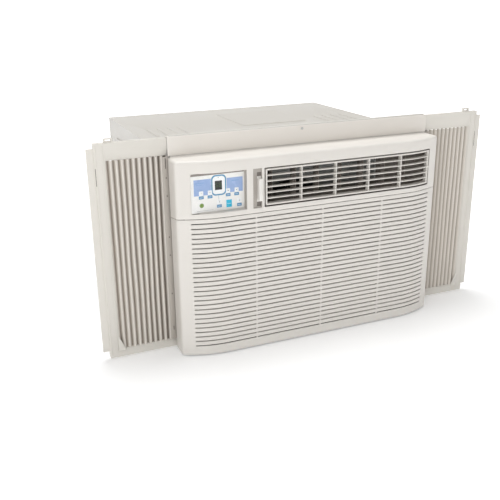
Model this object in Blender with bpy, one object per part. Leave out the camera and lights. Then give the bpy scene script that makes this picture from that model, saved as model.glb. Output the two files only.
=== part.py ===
"""Window air conditioner: a slide-in room unit with pleated side curtains.

Metres, +Z up.  The room side faces -Y and +X is on the right of someone facing the front.
The origin is at the bottom centre of the whole unit's box.
Depths are measured from the window plane, where the curtains stand: positive towards outdoors.
"""
import math

import bmesh
import bpy
from mathutils import Matrix, Vector

# Overall sizes
OVERALL_DEPTH = 0.673
FRONT_DEPTH = 0.076
LEVER_PROUD = 0.008
PANEL_WIDTH = 0.673
PANEL_TOP = 0.457
CABINET_WIDTH = 0.666
CABINET_HEIGHT = 0.4585
GAP = 0.0003

# Curtains and their rails
CURTAIN_REACH = 0.493
FLANGE_WIDTH = 0.015
CURTAIN_MEMBER = 0.022
ARM_LENGTH = 0.238
RAIL_WIDTH = 0.670
RAIL_HEIGHT = 0.042
RAIL_DEPTH = 0.0142
RAIL_SHEET = 0.0015
RAIL_FOOT = 0.032
BOTTOM_RAIL_Z = 0.002
BOTTOM_RAIL_HEIGHT = 0.022
CHANNEL_FLANGE = 0.014
CHANNEL_WEB = 0.045
PLEAT_COUNT = 11
PLEAT_DEPTH = 0.008
PLEAT_SHEET = 0.0012
LOOP_WIDTH = 0.020
LOOP_RISE = 0.009
LOOP_BAR = 0.004
FLANGE_THICKNESS = 0.004
FLANGE_FOOT = 0.016
FLANGE_HEAD = 0.011

# Front: fascia, grille and filter
FLAT_HALF_WIDTH = 0.230
CURVE_RADIUS = 0.220
FRONT_WALL = 0.0025
GRILLE_BOTTOM = 0.003
GRILLE_TOP = 0.3285
PARTING_GAP = 0.0015
GRILLE_TILT_RADIUS_MARGIN = 0.0005
HINGE_DEPTH = -0.067
HINGE_Z = 0.012
HINGE_PIN_RADIUS = 0.0022
HINGE_PIN_HALF_LENGTH = 0.012
HINGE_X = 0.225
HINGE_LUG_HALF_WIDTH = 0.003
HINGE_LUG_BITE = 0.0012
HINGE_SOCKET_OFFSET = 0.0085
HINGE_SOCKET_HALF_WIDTH = 0.0025
HINGE_SOCKET_CLEARANCE = 0.0004
HINGE_SOCKET_WALL = 0.0022
SLOT_COUNT = 27
SLOT_PITCH = 0.01127
SLOT_HEIGHT = 0.0028
TOP_SLOT_Z = 0.3175
SLOT_HALF_WIDTH = 0.311
RIB_PITCH = 0.165
RIB_WIDTH = 0.0036
FILTER_HALF_WIDTH = 0.3165
FILTER_BOTTOM = 0.018
FILTER_RIM = 0.008
FILTER_THICKNESS = 0.005
FILTER_MESH = 0.001
FRAME_LEG = 0.015
FRAME_FRONT = -0.045
FRAME_BACK = 0.040
FRAME_BAR = 0.0075
FRAME_BAR_Z = (0.005, 0.028)
CORD_X = 0.285
CORD_Z = 0.0165
CORD_HOLE = 0.0075
CORD_BORE = 0.0045
CORD_FLANGE = 0.003
HOUSING_CURVE_STOPS = (0.258, 0.285, 0.326)
GRILLE_CURVE_STOP = 0.272

# Openings in the fascia
OPENING_BOTTOM = 0.341
OPENING_TOP = 0.430
CONTROL_LEFT = -0.307
CONTROL_RIGHT = -0.182
LEVER_LEFT = -0.167
LEVER_RIGHT = -0.146
VENT_LEFT = -0.140
VENT_RIGHT = 0.307
CONTROL_FACE = -0.0615
CONTROL_PLATE = 0.0025
CONTROL_REAR = -0.0566
CONTROL_INSET = 0.0005
SHELF_THICKNESS = 0.002
SHELF_OVERLAP = 0.0002
SHELF_STOPS = (-0.288, -0.258)
GUIDE_RIGHT = -0.144
GUIDE_THICKNESS = 0.002

# Controls
BUTTON_RADIUS = 0.0035
BUTTON_PROUD = 0.001
BUTTON_LENGTH = 0.005
BUTTON_ROW_Z = 0.385
BUTTON_PLACES = {
    "button_temp_down": (-0.283, BUTTON_ROW_Z),
    "button_temp_up": (-0.263, BUTTON_ROW_Z),
    "button_fan": (-0.221, BUTTON_ROW_Z),
    "button_mode": (-0.201, BUTTON_ROW_Z),
    "button_timer": (-0.242, 0.362),
    "button_power": (-0.195, 0.360),
}
BUTTON_EDGE = 0.0006
DISPLAY_CENTRE = (-0.243, 0.3993)
DISPLAY_SIZE = (0.017, 0.021)
BOARD_LEFT = -0.287
BOARD_THICKNESS = 0.0016
BOX_LEFT = -0.3285
BOX_FRONT = -0.044
BOX_BACK = 0.040
CAPACITOR_X = -0.215
CAPACITOR_RADIUS = 0.022
CAPACITOR_HEIGHT = 0.080

# Vent: tilting lattice, vertical vanes and their link
LATTICE_GAP = 0.003
LATTICE_SIDE_GAP = 0.0035
LATTICE_RIM = 0.004
LATTICE_SLAT = 0.0025
LATTICE_DIVIDER = 0.003
LATTICE_ROWS = 6
LATTICE_COLUMNS = 5
LATTICE_DEPTH = 0.014
LATTICE_INSET = 0.001
LATTICE_CURVE_STOPS = (0.250, 0.276)
LATTICE_AXIS_DEPTH = -0.062
TRUNNION_RADIUS = 0.0025
DUCT_WALL = 0.002
DUCT_MARGIN = 0.0025
DUCT_SIDE_MARGIN = 0.0015
DUCT_TOP_MARGIN = 0.0005
DUCT_BEND = -0.001
VANE_COUNT = 7
VANE_PITCH = 0.060
VANE_AXIS_DEPTH = -0.018
VANE_FRONT = 0.012
VANE_BACK = 0.0155
VANE_SHEET = 0.0016
VANE_CRANK = 0.014
VANE_PIN_RADIUS = 0.002
VANE_CRANK_RADIUS = 0.0012
VANE_OFFSET = -0.0045
LINK_THICKNESS = 0.0025
LINK_WIDTH = 0.009
LINK_RISE = 0.0015
LINK_END = 0.008
LINK_SLOT_HALF = 0.0018
LINK_SLOT_DEPTHS = (-0.0035, 0.0025)

# Fresh-air lever and door
LEVER_WIDTH = 0.008
LEVER_LENGTH = 0.050
LEVER_TRAVEL = 0.013
LEVER_SLOT_WIDTH = 0.011
LEVER_X = -0.152
LEVER_Z = 0.383
LEVER_NECK = 0.006
LEVER_SLIDE = 0.015
LEVER_ROD = 0.005
LEVER_ROD_RISE = 0.0145
LEVER_PIN_RADIUS = 0.0015
DOOR_WIDTH = 0.060
DOOR_LENGTH = 0.050
DOOR_SHEET = 0.0015
DOOR_ANGLE = math.radians(29.5)
DOOR_CRANK = 0.023
DOOR_BARREL_RADIUS = 0.002
DOOR_FORK = 0.009
DOOR_FORK_GAP = 0.0052
DOOR_PORT_MARGINS = (0.004, 0.006)

# Air path behind the front
EVAPORATOR_HALF_WIDTH = 0.300
EVAPORATOR_FRONT = -0.033
EVAPORATOR_DEPTH = 0.044
EVAPORATOR_TOP = 0.322
END_SHEET = 0.0015
DRAIN_RIM = 0.010
DRAIN_WALL = 0.002
DRAIN_BACK = 0.035
ROTOR_X = 0.041
ROTOR_Z = 0.200
SCROLL_FRONT = 0.040
SCROLL_RADIUS = 0.1805
SCROLL_TOP = 0.436
SCROLL_WALL = 0.004
DUCT_BASE = 0.333
SHAFT_PORT_RADIUS = 0.012
INLET_RADIUS = 0.105
INLET_SHEET = 0.003
INLET_LIP = 0.006
BLOWER_RADIUS = 0.135
BLOWER_BLADE = 0.008
BLOWER_LENGTH = 0.098
BLOWER_BLADES = 16
BLOWER_CLEARANCE = 0.008
BLOWER_BACK_BAND = 0.008
BLOWER_FRONT_BAND = 0.010
BULKHEAD = 0.165
BULKHEAD_SHEET = 0.0015
CAPILLARY_NOTCH_Z = (0.050, 0.070)
SUCTION_NOTCH_Z = (0.240, 0.260)
PIPE_NOTCH_X = (-0.322, -0.300)
SHAFT_NOTCH = 0.014

# Outdoor side
SHAFT_RADIUS = 0.006
SHAFT_FRONT = 0.128
MOTOR_RADIUS = 0.062
MOTOR_FRONT = 0.188
MOTOR_LENGTH = 0.105
MOTOR_EDGE = 0.006
BEARING_RADIUS = 0.018
BEARING_FRONT = 0.010
BEARING_BACK = 0.008
CRADLE_CLEARANCE = 0.00107
STAND_LENGTH = 0.070
STAND_HALF_WIDTH = 0.050
STAND_FOOT = 0.012
FAN_RADIUS = 0.172
FAN_FRONT = 0.432
FAN_DEPTH = 0.030
FAN_BLADES = 5
FAN_HUB_RADIUS = 0.032
FAN_BLADE_ROOT = 0.030
FAN_BLADE_THICKNESS = 0.002
FAN_RING_LENGTH = 0.010
FAN_RING_WALL = 0.004
SHROUD_CLEARANCE = 0.006
SHROUD_DEPTH = 0.470
SHROUD_COLLAR = 0.045
SHROUD_SHEET = 0.0015
CONDENSER_HALF_WIDTH = 0.298
CONDENSER_TOP = 0.440
CONDENSER_DEPTH = 0.044
CONDENSER_INSET = 0.006
CONDENSER_END_DEPTH = 0.062
COMPRESSOR_X = -0.215
COMPRESSOR_DEPTH = 0.300
COMPRESSOR_RADIUS = 0.072
COMPRESSOR_HEIGHT = 0.272
GROMMET_RADIUS = 0.012
GROMMET_HEIGHT = 0.0145
FOOT_RADIUS = 0.088
FOOT_REACH = 0.014
FOOT_TURN = 0.16
FOOT_SHEET = 0.003
ACCUMULATOR_X = -0.288
ACCUMULATOR_DEPTH = 0.215
ACCUMULATOR_RADIUS = 0.025
ACCUMULATOR_BASE = 0.100
ACCUMULATOR_HEIGHT = 0.110
ACCUMULATOR_NECK = 0.008
ACCUMULATOR_SHOULDER = 0.014
SUCTION_Z = 0.250
SUCTION_DEPTH = -0.010
SUCTION_TURN = 0.190
DISCHARGE_X = -0.314
DISCHARGE_RISE = 0.050
CONDENSER_PIPE_DEPTH = 0.500
CAPILLARY_X = -0.312
CAPILLARY_Z = 0.060
CAPILLARY_DEPTH = 0.010
SUCTION_RADIUS = 0.005
DISCHARGE_RADIUS = 0.004
CAPILLARY_RADIUS = 0.002

# Cabinet
SHEET = 0.0012
PAN_SHEET = 0.0015
PAN_RIM = 0.012
PAN_INSET = 0.006
LOUVRE_COUNT = 7
LOUVRE_PITCH = 0.045
LOUVRE_HEIGHT = 0.006
LOUVRE_BOTTOM = 0.130
LOUVRE_FRONT = 0.300
LOUVRE_BACK = 0.500
TOP_SLOT_COUNT = 4
TOP_SLOT_PITCH = 0.028
TOP_SLOT_WIDTH = 0.005
TOP_SLOT_X = 0.200
TOP_SLOT_FRONT = 0.240
TOP_SLOT_BACK = 0.340
GUARD_COLUMNS = 6
GUARD_ROWS = 4
GUARD_MARGIN = 0.020
GUARD_BAR = 0.010
GUARD_SHEET = 0.0015

WINDOW_Y = FRONT_DEPTH + LEVER_PROUD - OVERALL_DEPTH / 2
BACK = OVERALL_DEPTH - FRONT_DEPTH - LEVER_PROUD
SLEEVE_FRONT = RAIL_DEPTH + GAP
SLEEVE_INNER = CABINET_WIDTH / 2 - SHEET
PANEL_EDGE = PANEL_WIDTH / 2
PAN_TOP = SHEET + GAP + PAN_SHEET
RAIL_Z = CABINET_HEIGHT + GAP
LATTICE_Z = (OPENING_BOTTOM + OPENING_TOP) / 2
BULKHEAD_BACK = BULKHEAD + BULKHEAD_SHEET
GRILLE_SWEEP = GRILLE_TOP - HINGE_Z + GRILLE_TILT_RADIUS_MARGIN
DOOR_HINGE_DEPTH = BULKHEAD - DOOR_BARREL_RADIUS - GAP
DOOR_HINGE_Z = LEVER_Z + LEVER_ROD_RISE
DOOR_RIGHT = LEVER_X - LEVER_ROD / 2 - 0.003
GUIDE_FRONT = -FRONT_DEPTH + FRONT_WALL + GAP
GUIDE_BACK = GUIDE_FRONT + GUIDE_THICKNESS


# ---------------------------------------------------------------- materials and objects

def clear_scene():
    for obj in list(bpy.data.objects):
        bpy.data.objects.remove(obj, do_unlink=True)


def material(name, colour, roughness, metallic=0.0, alpha=1.0):
    made = bpy.data.materials.new(name)
    made.use_nodes = True
    shader = made.node_tree.nodes["Principled BSDF"]
    shader.inputs["Base Color"].default_value = (*colour, 1.0)
    shader.inputs["Roughness"].default_value = roughness
    shader.inputs["Metallic"].default_value = metallic
    shader.inputs["Alpha"].default_value = alpha
    return made


def place(name, solid, look, origin=(0.0, 0.0, 0.0), smooth=False):
    """Make a named object from a solid in room coordinates, with its origin at the given point."""
    bmesh.ops.recalc_face_normals(solid, faces=solid.faces)
    mesh = bpy.data.meshes.new(name)
    solid.to_mesh(mesh)
    solid.free()
    mesh.transform(Matrix.Translation(-Vector(origin)))
    mesh.materials.append(look)
    if smooth:
        mesh.shade_smooth()
        mesh.set_sharp_from_angle(angle=math.radians(35))
    obj = bpy.data.objects.new(name, mesh)
    obj.location = origin
    bpy.context.collection.objects.link(obj)
    return obj


def point(x, depth, z):
    """A point from its place across, its depth behind the window plane, and its height."""
    return Vector((x, WINDOW_Y + depth, z))


# ---------------------------------------------------------------- shapes

def loft(rings, closed=False):
    """Bridge rings of points; the ends are capped, or joined to each other if closed."""
    solid = bmesh.new()
    loops = [[solid.verts.new(p) for p in ring] for ring in rings]
    pairs = list(zip(loops, loops[1:]))
    if closed:
        pairs.append((loops[-1], loops[0]))
    else:
        solid.faces.new(loops[0])
        solid.faces.new(loops[-1])
    for near, far in pairs:
        for i in range(len(near)):
            j = (i + 1) % len(near)
            solid.faces.new((near[i], near[j], far[j], far[i]))
    return solid


def box(x_range, depth_range, z_range):
    x0, x1 = x_range
    z0, z1 = z_range
    corners = [(x0, z0), (x1, z0), (x1, z1), (x0, z1)]
    return loft([[point(x, d, z) for x, z in corners] for d in depth_range])


def prism_along_x(profile, x0, x1):
    """Extrude a (depth, z) outline across."""
    return loft([[point(x, d, z) for d, z in profile] for x in (x0, x1)])


def prism_along_y(profile, d0, d1):
    """Extrude an (x, z) outline in depth."""
    return loft([[point(x, d, z) for x, z in profile] for d in (d0, d1)])


def prism_along_z(profile, z0, z1):
    """Extrude an (x, depth) outline upwards."""
    return loft([[point(x, d, z) for x, d in profile] for z in (z0, z1)])


def circle(centre, radius, sides, start=0.0):
    turn = 2 * math.pi / sides
    return [
        (centre[0] + radius * math.cos(start + i * turn), centre[1] + radius * math.sin(start + i * turn))
        for i in range(sides)
    ]


def turned_y(profile, x, z, sides, closed=False):
    """Turn a (radius, depth) profile about an axis that runs in depth."""
    return loft([[point(a, d, b) for a, b in circle((x, z), r, sides)] for r, d in profile], closed)


def turned_z(profile, x, depth, sides):
    """Turn a (radius, z) profile about an upright axis."""
    return loft([[point(a, b, z) for a, b in circle((x, depth), r, sides)] for r, z in profile])


def turned_x(profile, depth, z, sides):
    """Turn a (radius, x) profile about an axis that runs across."""
    return loft([[point(x, a, b) for a, b in circle((depth, z), r, sides)] for r, x in profile])


def tray(outline, inner, z_bottom, z_rim, z_floor):
    """An open tray: an outer (x, depth) outline, its inner outline, and three heights."""
    levels = [(outline, z_bottom), (outline, z_rim), (inner, z_rim), (inner, z_floor)]
    return loft([[point(x, d, z) for x, d in line] for line, z in levels])


def rectangle(x0, x1, y0, y1):
    return [(x0, y0), (x1, y0), (x1, y1), (x0, y1)]


def edges_of(first, count, pitch, width):
    """Both edges of each slot in a row of evenly pitched ones."""
    return [first + i * pitch + edge for i in range(count) for edge in (0, width)]


def grid_sheet(columns, rows, outer, inner, is_open, wrap=False, lid=False):
    """A sheet of cells with square openings.

    outer(i, j) and inner(i, j) give its two faces at grid corner (column i, row j), and
    is_open(i, j) says which cells are cut out.  wrap joins the last column to the first,
    and lid closes the top row's outline with a flat plate.
    """
    solid = bmesh.new()
    made = {}

    def corner(face, i, j):
        key = (face, i % columns if wrap else i, j)
        if key not in made:
            made[key] = solid.verts.new((outer if face else inner)(key[1], j))
        return made[key]

    cells = [(i, j) for i in range(columns if wrap else columns - 1) for j in range(rows - 1)]
    kept = {cell for cell in cells if not is_open(*cell)}
    for i, j in kept:
        for face in (0, 1):
            ring = [(i, j), (i + 1, j), (i + 1, j + 1), (i, j + 1)]
            solid.faces.new([corner(face, *spot) for spot in ring])
        beside = {
            ((i - 1) % columns if wrap else i - 1, j): ((i, j), (i, j + 1)),
            ((i + 1) % columns if wrap else i + 1, j): ((i + 1, j), (i + 1, j + 1)),
            (i, j - 1): ((i, j), (i + 1, j)),
            (i, j + 1): ((i, j + 1), (i + 1, j + 1)),
        }
        for cell, (a, b) in beside.items():
            under_lid = lid and cell[1] == rows - 1
            if cell not in kept and not under_lid:
                solid.faces.new([corner(0, *a), corner(0, *b), corner(1, *b), corner(1, *a)])
    if lid:
        top = rows - 1
        for face in (0, 1):
            solid.faces.new([corner(face, i, top) for i in range(columns)])
        last = columns - 1
        solid.faces.new([corner(0, 0, top), corner(0, last, top), corner(1, last, top), corner(1, 0, top)])
    return solid


def flat_grid(across, up, depth_front, depth_back, is_open):
    """A flat upright plate of cells between two depths."""
    return grid_sheet(
        len(across), len(up),
        lambda i, j: point(across[i], depth_front, up[j]),
        lambda i, j: point(across[i], depth_back, up[j]),
        is_open,
    )


def combined(operation, solids):
    """Boolean of the first solid with each of the others."""
    objects = []
    for solid in solids:
        bmesh.ops.recalc_face_normals(solid, faces=solid.faces)
        mesh = bpy.data.meshes.new("working")
        solid.to_mesh(mesh)
        solid.free()
        obj = bpy.data.objects.new("working", mesh)
        bpy.context.collection.objects.link(obj)
        objects.append(obj)
    base = objects[0]
    for other in objects[1:]:
        step = base.modifiers.new("step", "BOOLEAN")
        step.operation = operation
        step.solver = "EXACT"
        step.object = other
    evaluated = base.evaluated_get(bpy.context.evaluated_depsgraph_get())
    result = bmesh.new()
    result.from_mesh(evaluated.to_mesh())
    evaluated.to_mesh_clear()
    for obj in objects:
        bpy.data.objects.remove(obj, do_unlink=True)
    bmesh.ops.remove_doubles(result, verts=result.verts, dist=0.00001)
    return result


def united(*solids):
    return combined("UNION", solids)


def cut(*solids):
    return combined("DIFFERENCE", solids)


def mirrored(solid):
    """The same solid on the other side of the centre plane."""
    bmesh.ops.scale(solid, vec=(-1, 1, 1), verts=solid.verts)
    return solid


def sides():
    """The two sides: a name, a sign, and what turns a left-hand solid into that side's."""
    return (("left", -1, lambda solid: solid), ("right", 1, mirrored))


# ---------------------------------------------------------------- the curved front outline

def front_face(x):
    """Depth of the front's outer face: flat in the middle, curving back to the corners."""
    bend = max(0.0, abs(x) - FLAT_HALF_WIDTH)
    return -FRONT_DEPTH + CURVE_RADIUS - math.sqrt(CURVE_RADIUS ** 2 - bend ** 2)


def front_outline(stops, back_depth):
    """Outer and inner (x, depth) lines round the front, from left back to right back."""
    outer = [(x, front_face(x)) for x in stops]
    inner = [(x, front_face(x) + FRONT_WALL) for x in stops]
    edge = PANEL_EDGE
    inside = edge - FRONT_WALL
    corner = front_face(inside) + FRONT_WALL
    tip = front_face(edge)
    outer = [(-edge, back_depth), (-edge, tip), *outer, (edge, tip), (edge, back_depth)]
    inner = [(-inside, back_depth), (-inside, corner), *inner, (inside, corner), (inside, back_depth)]
    return outer, inner


def parting_height(depth, radius):
    """Height on the arc that the grille's top edge sweeps about its hinge."""
    return HINGE_Z + math.sqrt(radius ** 2 - (depth - HINGE_DEPTH) ** 2)


# ---------------------------------------------------------------- cabinet and base

def build_cabinet(paint):
    """Sheet-metal sleeve, open at front and back, with louvres in both sides and the top."""
    half = CABINET_WIDTH / 2
    side_stops = edges_of(LOUVRE_BOTTOM, LOUVRE_COUNT, LOUVRE_PITCH, LOUVRE_HEIGHT)
    top_stops = edges_of(TOP_SLOT_X, TOP_SLOT_COUNT, TOP_SLOT_PITCH, TOP_SLOT_WIDTH)
    section = [(half, 0.0)] + [(half, z) for z in side_stops] + [(half, CABINET_HEIGHT)]
    section += [(x, CABINET_HEIGHT) for x in reversed(top_stops)]
    section += [(-x, z) for x, z in reversed(section)]
    along = [SLEEVE_FRONT, TOP_SLOT_FRONT, LOUVRE_FRONT, TOP_SLOT_BACK, LOUVRE_BACK, BACK]

    def inward(value, limit):
        return max(-limit, min(limit, value))

    def inner(i, j):
        x, z = section[i]
        return point(inward(x, half - SHEET), along[j], max(SHEET, min(CABINET_HEIGHT - SHEET, z)))

    def is_open(i, j):
        (x0, z0), (x1, z1) = section[i], section[(i + 1) % len(section)]
        if x0 == x1:
            slot = abs(abs(z1 - z0) - LOUVRE_HEIGHT) < 1e-6
            return slot and LOUVRE_FRONT <= along[j] < LOUVRE_BACK
        slot = abs(abs(x1 - x0) - TOP_SLOT_WIDTH) < 1e-6
        return slot and TOP_SLOT_FRONT <= along[j] < TOP_SLOT_BACK

    def outer(i, j):
        x, z = section[i]
        return point(x, along[j], z)

    solid = grid_sheet(len(section), len(along), outer, inner, is_open, wrap=True)
    place("cabinet_sleeve", solid, paint)


def build_base_pan(steel):
    edge = SLEEVE_INNER - GAP
    front, back = SLEEVE_FRONT + PAN_INSET, BACK - PAN_INSET
    wall = PAN_SHEET
    outline = rectangle(-edge, edge, front, back)
    inside = rectangle(-edge + wall, edge - wall, front + wall, back - wall)
    place("base_pan", tray(outline, inside, SHEET + GAP, SHEET + GAP + PAN_RIM, PAN_TOP), steel)


def build_rear_guard(steel):
    """Punched guard over the condenser, inside the sleeve's back edge."""
    edge = SLEEVE_INNER - GAP
    low, high = SHEET + GAP, CABINET_HEIGHT - SHEET - GAP

    def stops(a, b, count):
        cell = (b - a - 2 * GUARD_MARGIN + GUARD_BAR) / count
        inner = [a + GUARD_MARGIN + i * cell + d for i in range(count) for d in (0, cell - GUARD_BAR)]
        return [a, *inner, b]

    across, up = stops(-edge, edge, GUARD_COLUMNS), stops(low, high, GUARD_ROWS)
    front = BACK - 2 * GUARD_SHEET
    solid = flat_grid(across, up, front, front + GUARD_SHEET, lambda i, j: i % 2 == 1 and j % 2 == 1)
    place("rear_guard", solid, steel)


# ---------------------------------------------------------------- rails, channels and curtains

def build_rails(paint):
    half = RAIL_WIDTH / 2
    top = RAIL_Z + RAIL_HEIGHT
    sheet = RAIL_SHEET
    upper = [
        (0, RAIL_Z), (RAIL_FOOT, RAIL_Z), (RAIL_FOOT, RAIL_Z + sheet), (sheet, RAIL_Z + sheet),
        (sheet, top - sheet), (RAIL_DEPTH, top - sheet), (RAIL_DEPTH, top), (0, top),
    ]
    place("top_rail", prism_along_x(upper, -half, half), paint)
    base = BOTTOM_RAIL_Z
    rim = base + BOTTOM_RAIL_HEIGHT
    lower = [
        (0, base), (RAIL_DEPTH, base), (RAIL_DEPTH, base + sheet), (sheet, base + sheet),
        (sheet, rim - sheet), (RAIL_DEPTH, rim - sheet), (RAIL_DEPTH, rim), (0, rim),
    ]
    cabinet_half = CABINET_WIDTH / 2
    place("bottom_rail", prism_along_x(lower, -cabinet_half, cabinet_half), paint)


def curtain_heights():
    """Bottom and top of the lower arm, then of the upper arm."""
    low = BOTTOM_RAIL_Z + RAIL_SHEET + GAP
    high = BOTTOM_RAIL_Z + BOTTOM_RAIL_HEIGHT - RAIL_SHEET - GAP
    return low, high, RAIL_Z + RAIL_SHEET + GAP, RAIL_Z + RAIL_HEIGHT - RAIL_SHEET - GAP


def build_curtains(paint, vinyl):
    low, arm_top, arm_base, high = curtain_heights()
    web = CABINET_WIDTH / 2 + GAP
    channel_z = (BOTTOM_RAIL_Z + BOTTOM_RAIL_HEIGHT + GAP, CABINET_HEIGHT)
    member = CURTAIN_REACH - CURTAIN_MEMBER
    front, back = RAIL_SHEET + GAP, RAIL_DEPTH - GAP
    middle = (front + back) / 2
    for side, sign, hand in sides():
        outside = -web - RAIL_SHEET
        tip = outside - CHANNEL_FLANGE
        channel = [
            (-web, 0), (-web, CHANNEL_WEB), (outside, CHANNEL_WEB),
            (outside, RAIL_SHEET), (tip, RAIL_SHEET), (tip, 0),
        ]
        place(f"{side}_curtain_channel", hand(prism_along_z(channel, *channel_z)), paint)

        across = [-CURTAIN_REACH, -member, -CURTAIN_REACH + ARM_LENGTH]
        heights = [low, arm_top, arm_base, high]
        c_plate = flat_grid(across, heights, front, back, lambda i, j: (i, j) == (1, 1))
        thin = (middle - FLANGE_THICKNESS / 2, middle + FLANGE_THICKNESS / 2)
        flange_x = (-CURTAIN_REACH - FLANGE_WIDTH, -CURTAIN_REACH + 0.001)
        flange = box(flange_x, thin, (low + FLANGE_FOOT, high - FLANGE_HEAD))
        loop_x = [-member + a for a in (0.001, 0.001 + LOOP_BAR, LOOP_WIDTH - LOOP_BAR, LOOP_WIDTH)]
        loop_z = [high - 0.001, high + 0.003, high + LOOP_RISE - 0.003, high + LOOP_RISE]
        loop = flat_grid(loop_x, loop_z, *thin, lambda i, j: (i, j) == (1, 1))
        frame = hand(united(c_plate, flange, loop))
        rest = point(sign * member, middle, arm_top)
        place(f"{side}_curtain_frame", frame, paint, origin=rest)

        start = web + RAIL_SHEET + GAP
        pitch = (member - GAP - start) / (2 * PLEAT_COUNT)
        crest = front + GAP
        folds = [
            (-start - i * pitch, crest + (PLEAT_DEPTH if i % 2 else 0))
            for i in range(2 * PLEAT_COUNT + 1)
        ]
        outline = folds + [(x, d + PLEAT_SHEET) for x, d in reversed(folds)]
        pleats = hand(prism_along_z(outline, arm_top + GAP, arm_base - GAP))
        place(f"{side}_pleats", pleats, vinyl, origin=point(sign * start, middle, arm_top))


# ---------------------------------------------------------------- front housing, grille and filter

def build_front_housing(plastic):
    """Upper fascia with the openings for the controls, the lever and the vent."""
    openings = [(CONTROL_LEFT, CONTROL_RIGHT), (LEVER_LEFT, LEVER_RIGHT), (VENT_LEFT, VENT_RIGHT)]
    curve = [FLAT_HALF_WIDTH, *HOUSING_CURVE_STOPS]
    stops = sorted({x for pair in openings for x in pair} | set(curve) | {-x for x in curve})
    outer_line, inner_line = front_outline(stops, -GAP)
    radius = GRILLE_SWEEP + PARTING_GAP

    def height(j, depth, lid_drop):
        return [parting_height(depth, radius), OPENING_BOTTOM, OPENING_TOP, PANEL_TOP - lid_drop][j]

    def outer(i, j):
        x, d = outer_line[i]
        return point(x, d, height(j, d, 0.0))

    def inner(i, j):
        x, d = inner_line[i]
        return point(x, d, height(j, d, FRONT_WALL))

    def is_open(i, j):
        x0, x1 = outer_line[i][0], outer_line[i + 1][0]
        return j == 1 and any(a <= x0 and x1 <= b and x0 < x1 for a, b in openings)

    solid = grid_sheet(len(outer_line), 4, outer, inner, is_open, lid=True)
    place("front_housing", solid, plastic)


def build_grille(plastic):
    """Tilting intake grille: rows of slots between upright ribs, with hinge pins on two lugs."""
    ribs = [sign * RIB_PITCH + half for sign in (-1, 0, 1) for half in (-RIB_WIDTH / 2, RIB_WIDTH / 2)]
    curve = [FLAT_HALF_WIDTH, GRILLE_CURVE_STOP, SLOT_HALF_WIDTH]
    stops = sorted(ribs + curve + [-x for x in curve])
    outer_line, inner_line = front_outline(stops, -0.001)
    lowest = TOP_SLOT_Z - (SLOT_COUNT - 1) * SLOT_PITCH
    levels = [GRILLE_BOTTOM] + edges_of(lowest, SLOT_COUNT, SLOT_PITCH, SLOT_HEIGHT)

    def height(j, depth):
        return parting_height(depth, GRILLE_SWEEP) if j == len(levels) else levels[j]

    def outer(i, j):
        x, d = outer_line[i]
        return point(x, d, height(j, d))

    def inner(i, j):
        x, d = inner_line[i]
        return point(x, d, height(j, d))

    def is_open(i, j):
        x0, x1 = outer_line[i][0], outer_line[i + 1][0]
        slotted = -SLOT_HALF_WIDTH <= x0 and x1 <= SLOT_HALF_WIDTH and x1 - x0 > RIB_WIDTH + 1e-6
        return j % 2 == 1 and j < len(levels) and slotted

    shell = grid_sheet(len(outer_line), len(levels) + 1, outer, inner, is_open)
    solids = [shell]
    inside = front_face(HINGE_X) + FRONT_WALL
    for sign in (-1, 1):
        middle = sign * HINGE_X
        lug_x = (middle - HINGE_LUG_HALF_WIDTH, middle + HINGE_LUG_HALF_WIDTH)
        lug_depth = (inside - HINGE_LUG_BITE, HINGE_DEPTH + 0.0035)
        solids.append(box(lug_x, lug_depth, (HINGE_Z - 0.006, HINGE_Z + 0.004)))
        pin = [(HINGE_PIN_RADIUS, middle + half) for half in (-HINGE_PIN_HALF_LENGTH, HINGE_PIN_HALF_LENGTH)]
        solids.append(turned_x(pin, HINGE_DEPTH, HINGE_Z, 10))
    place("intake_grille", united(*solids), plastic, origin=point(0, HINGE_DEPTH, HINGE_Z))


def build_filter(mesh_look):
    """Washable filter: a rim with cross bars and its mesh as one thin panel."""
    front = front_face(FILTER_HALF_WIDTH) + FRONT_WALL + GAP
    half = FILTER_HALF_WIDTH
    rim = FILTER_RIM
    low, high = FILTER_BOTTOM, EVAPORATOR_TOP
    outline = rectangle(-half, half, low, high)
    inside = rectangle(-half + rim, half - rim, low + rim, high - rim)
    levels = [(outline, 0.0), (outline, FILTER_THICKNESS), (inside, FILTER_THICKNESS), (inside, FILTER_MESH)]
    solid = loft([[point(x, front + d, z) for x, z in line] for line, d in levels])
    place("air_filter", solid, mesh_look, origin=point(0, HINGE_DEPTH, HINGE_Z))


def hinge_socket(x0, x1):
    """A tab that reaches forward from the frame's lower bar and holds a grille pin."""
    hole_radius = HINGE_PIN_RADIUS + HINGE_SOCKET_CLEARANCE
    hole = circle((HINGE_DEPTH, HINGE_Z), hole_radius, 12)
    rim = circle((HINGE_DEPTH, HINGE_Z), hole_radius + HINGE_SOCKET_WALL, 12)
    rim = [(FRAME_FRONT + 0.001 if d > HINGE_DEPTH + 0.003 else d, z) for d, z in rim]
    levels = [(rim, x0), (rim, x1), (hole, x1), (hole, x0)]
    return loft([[point(x, d, z) for d, z in line] for line, x in levels], closed=True)


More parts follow.
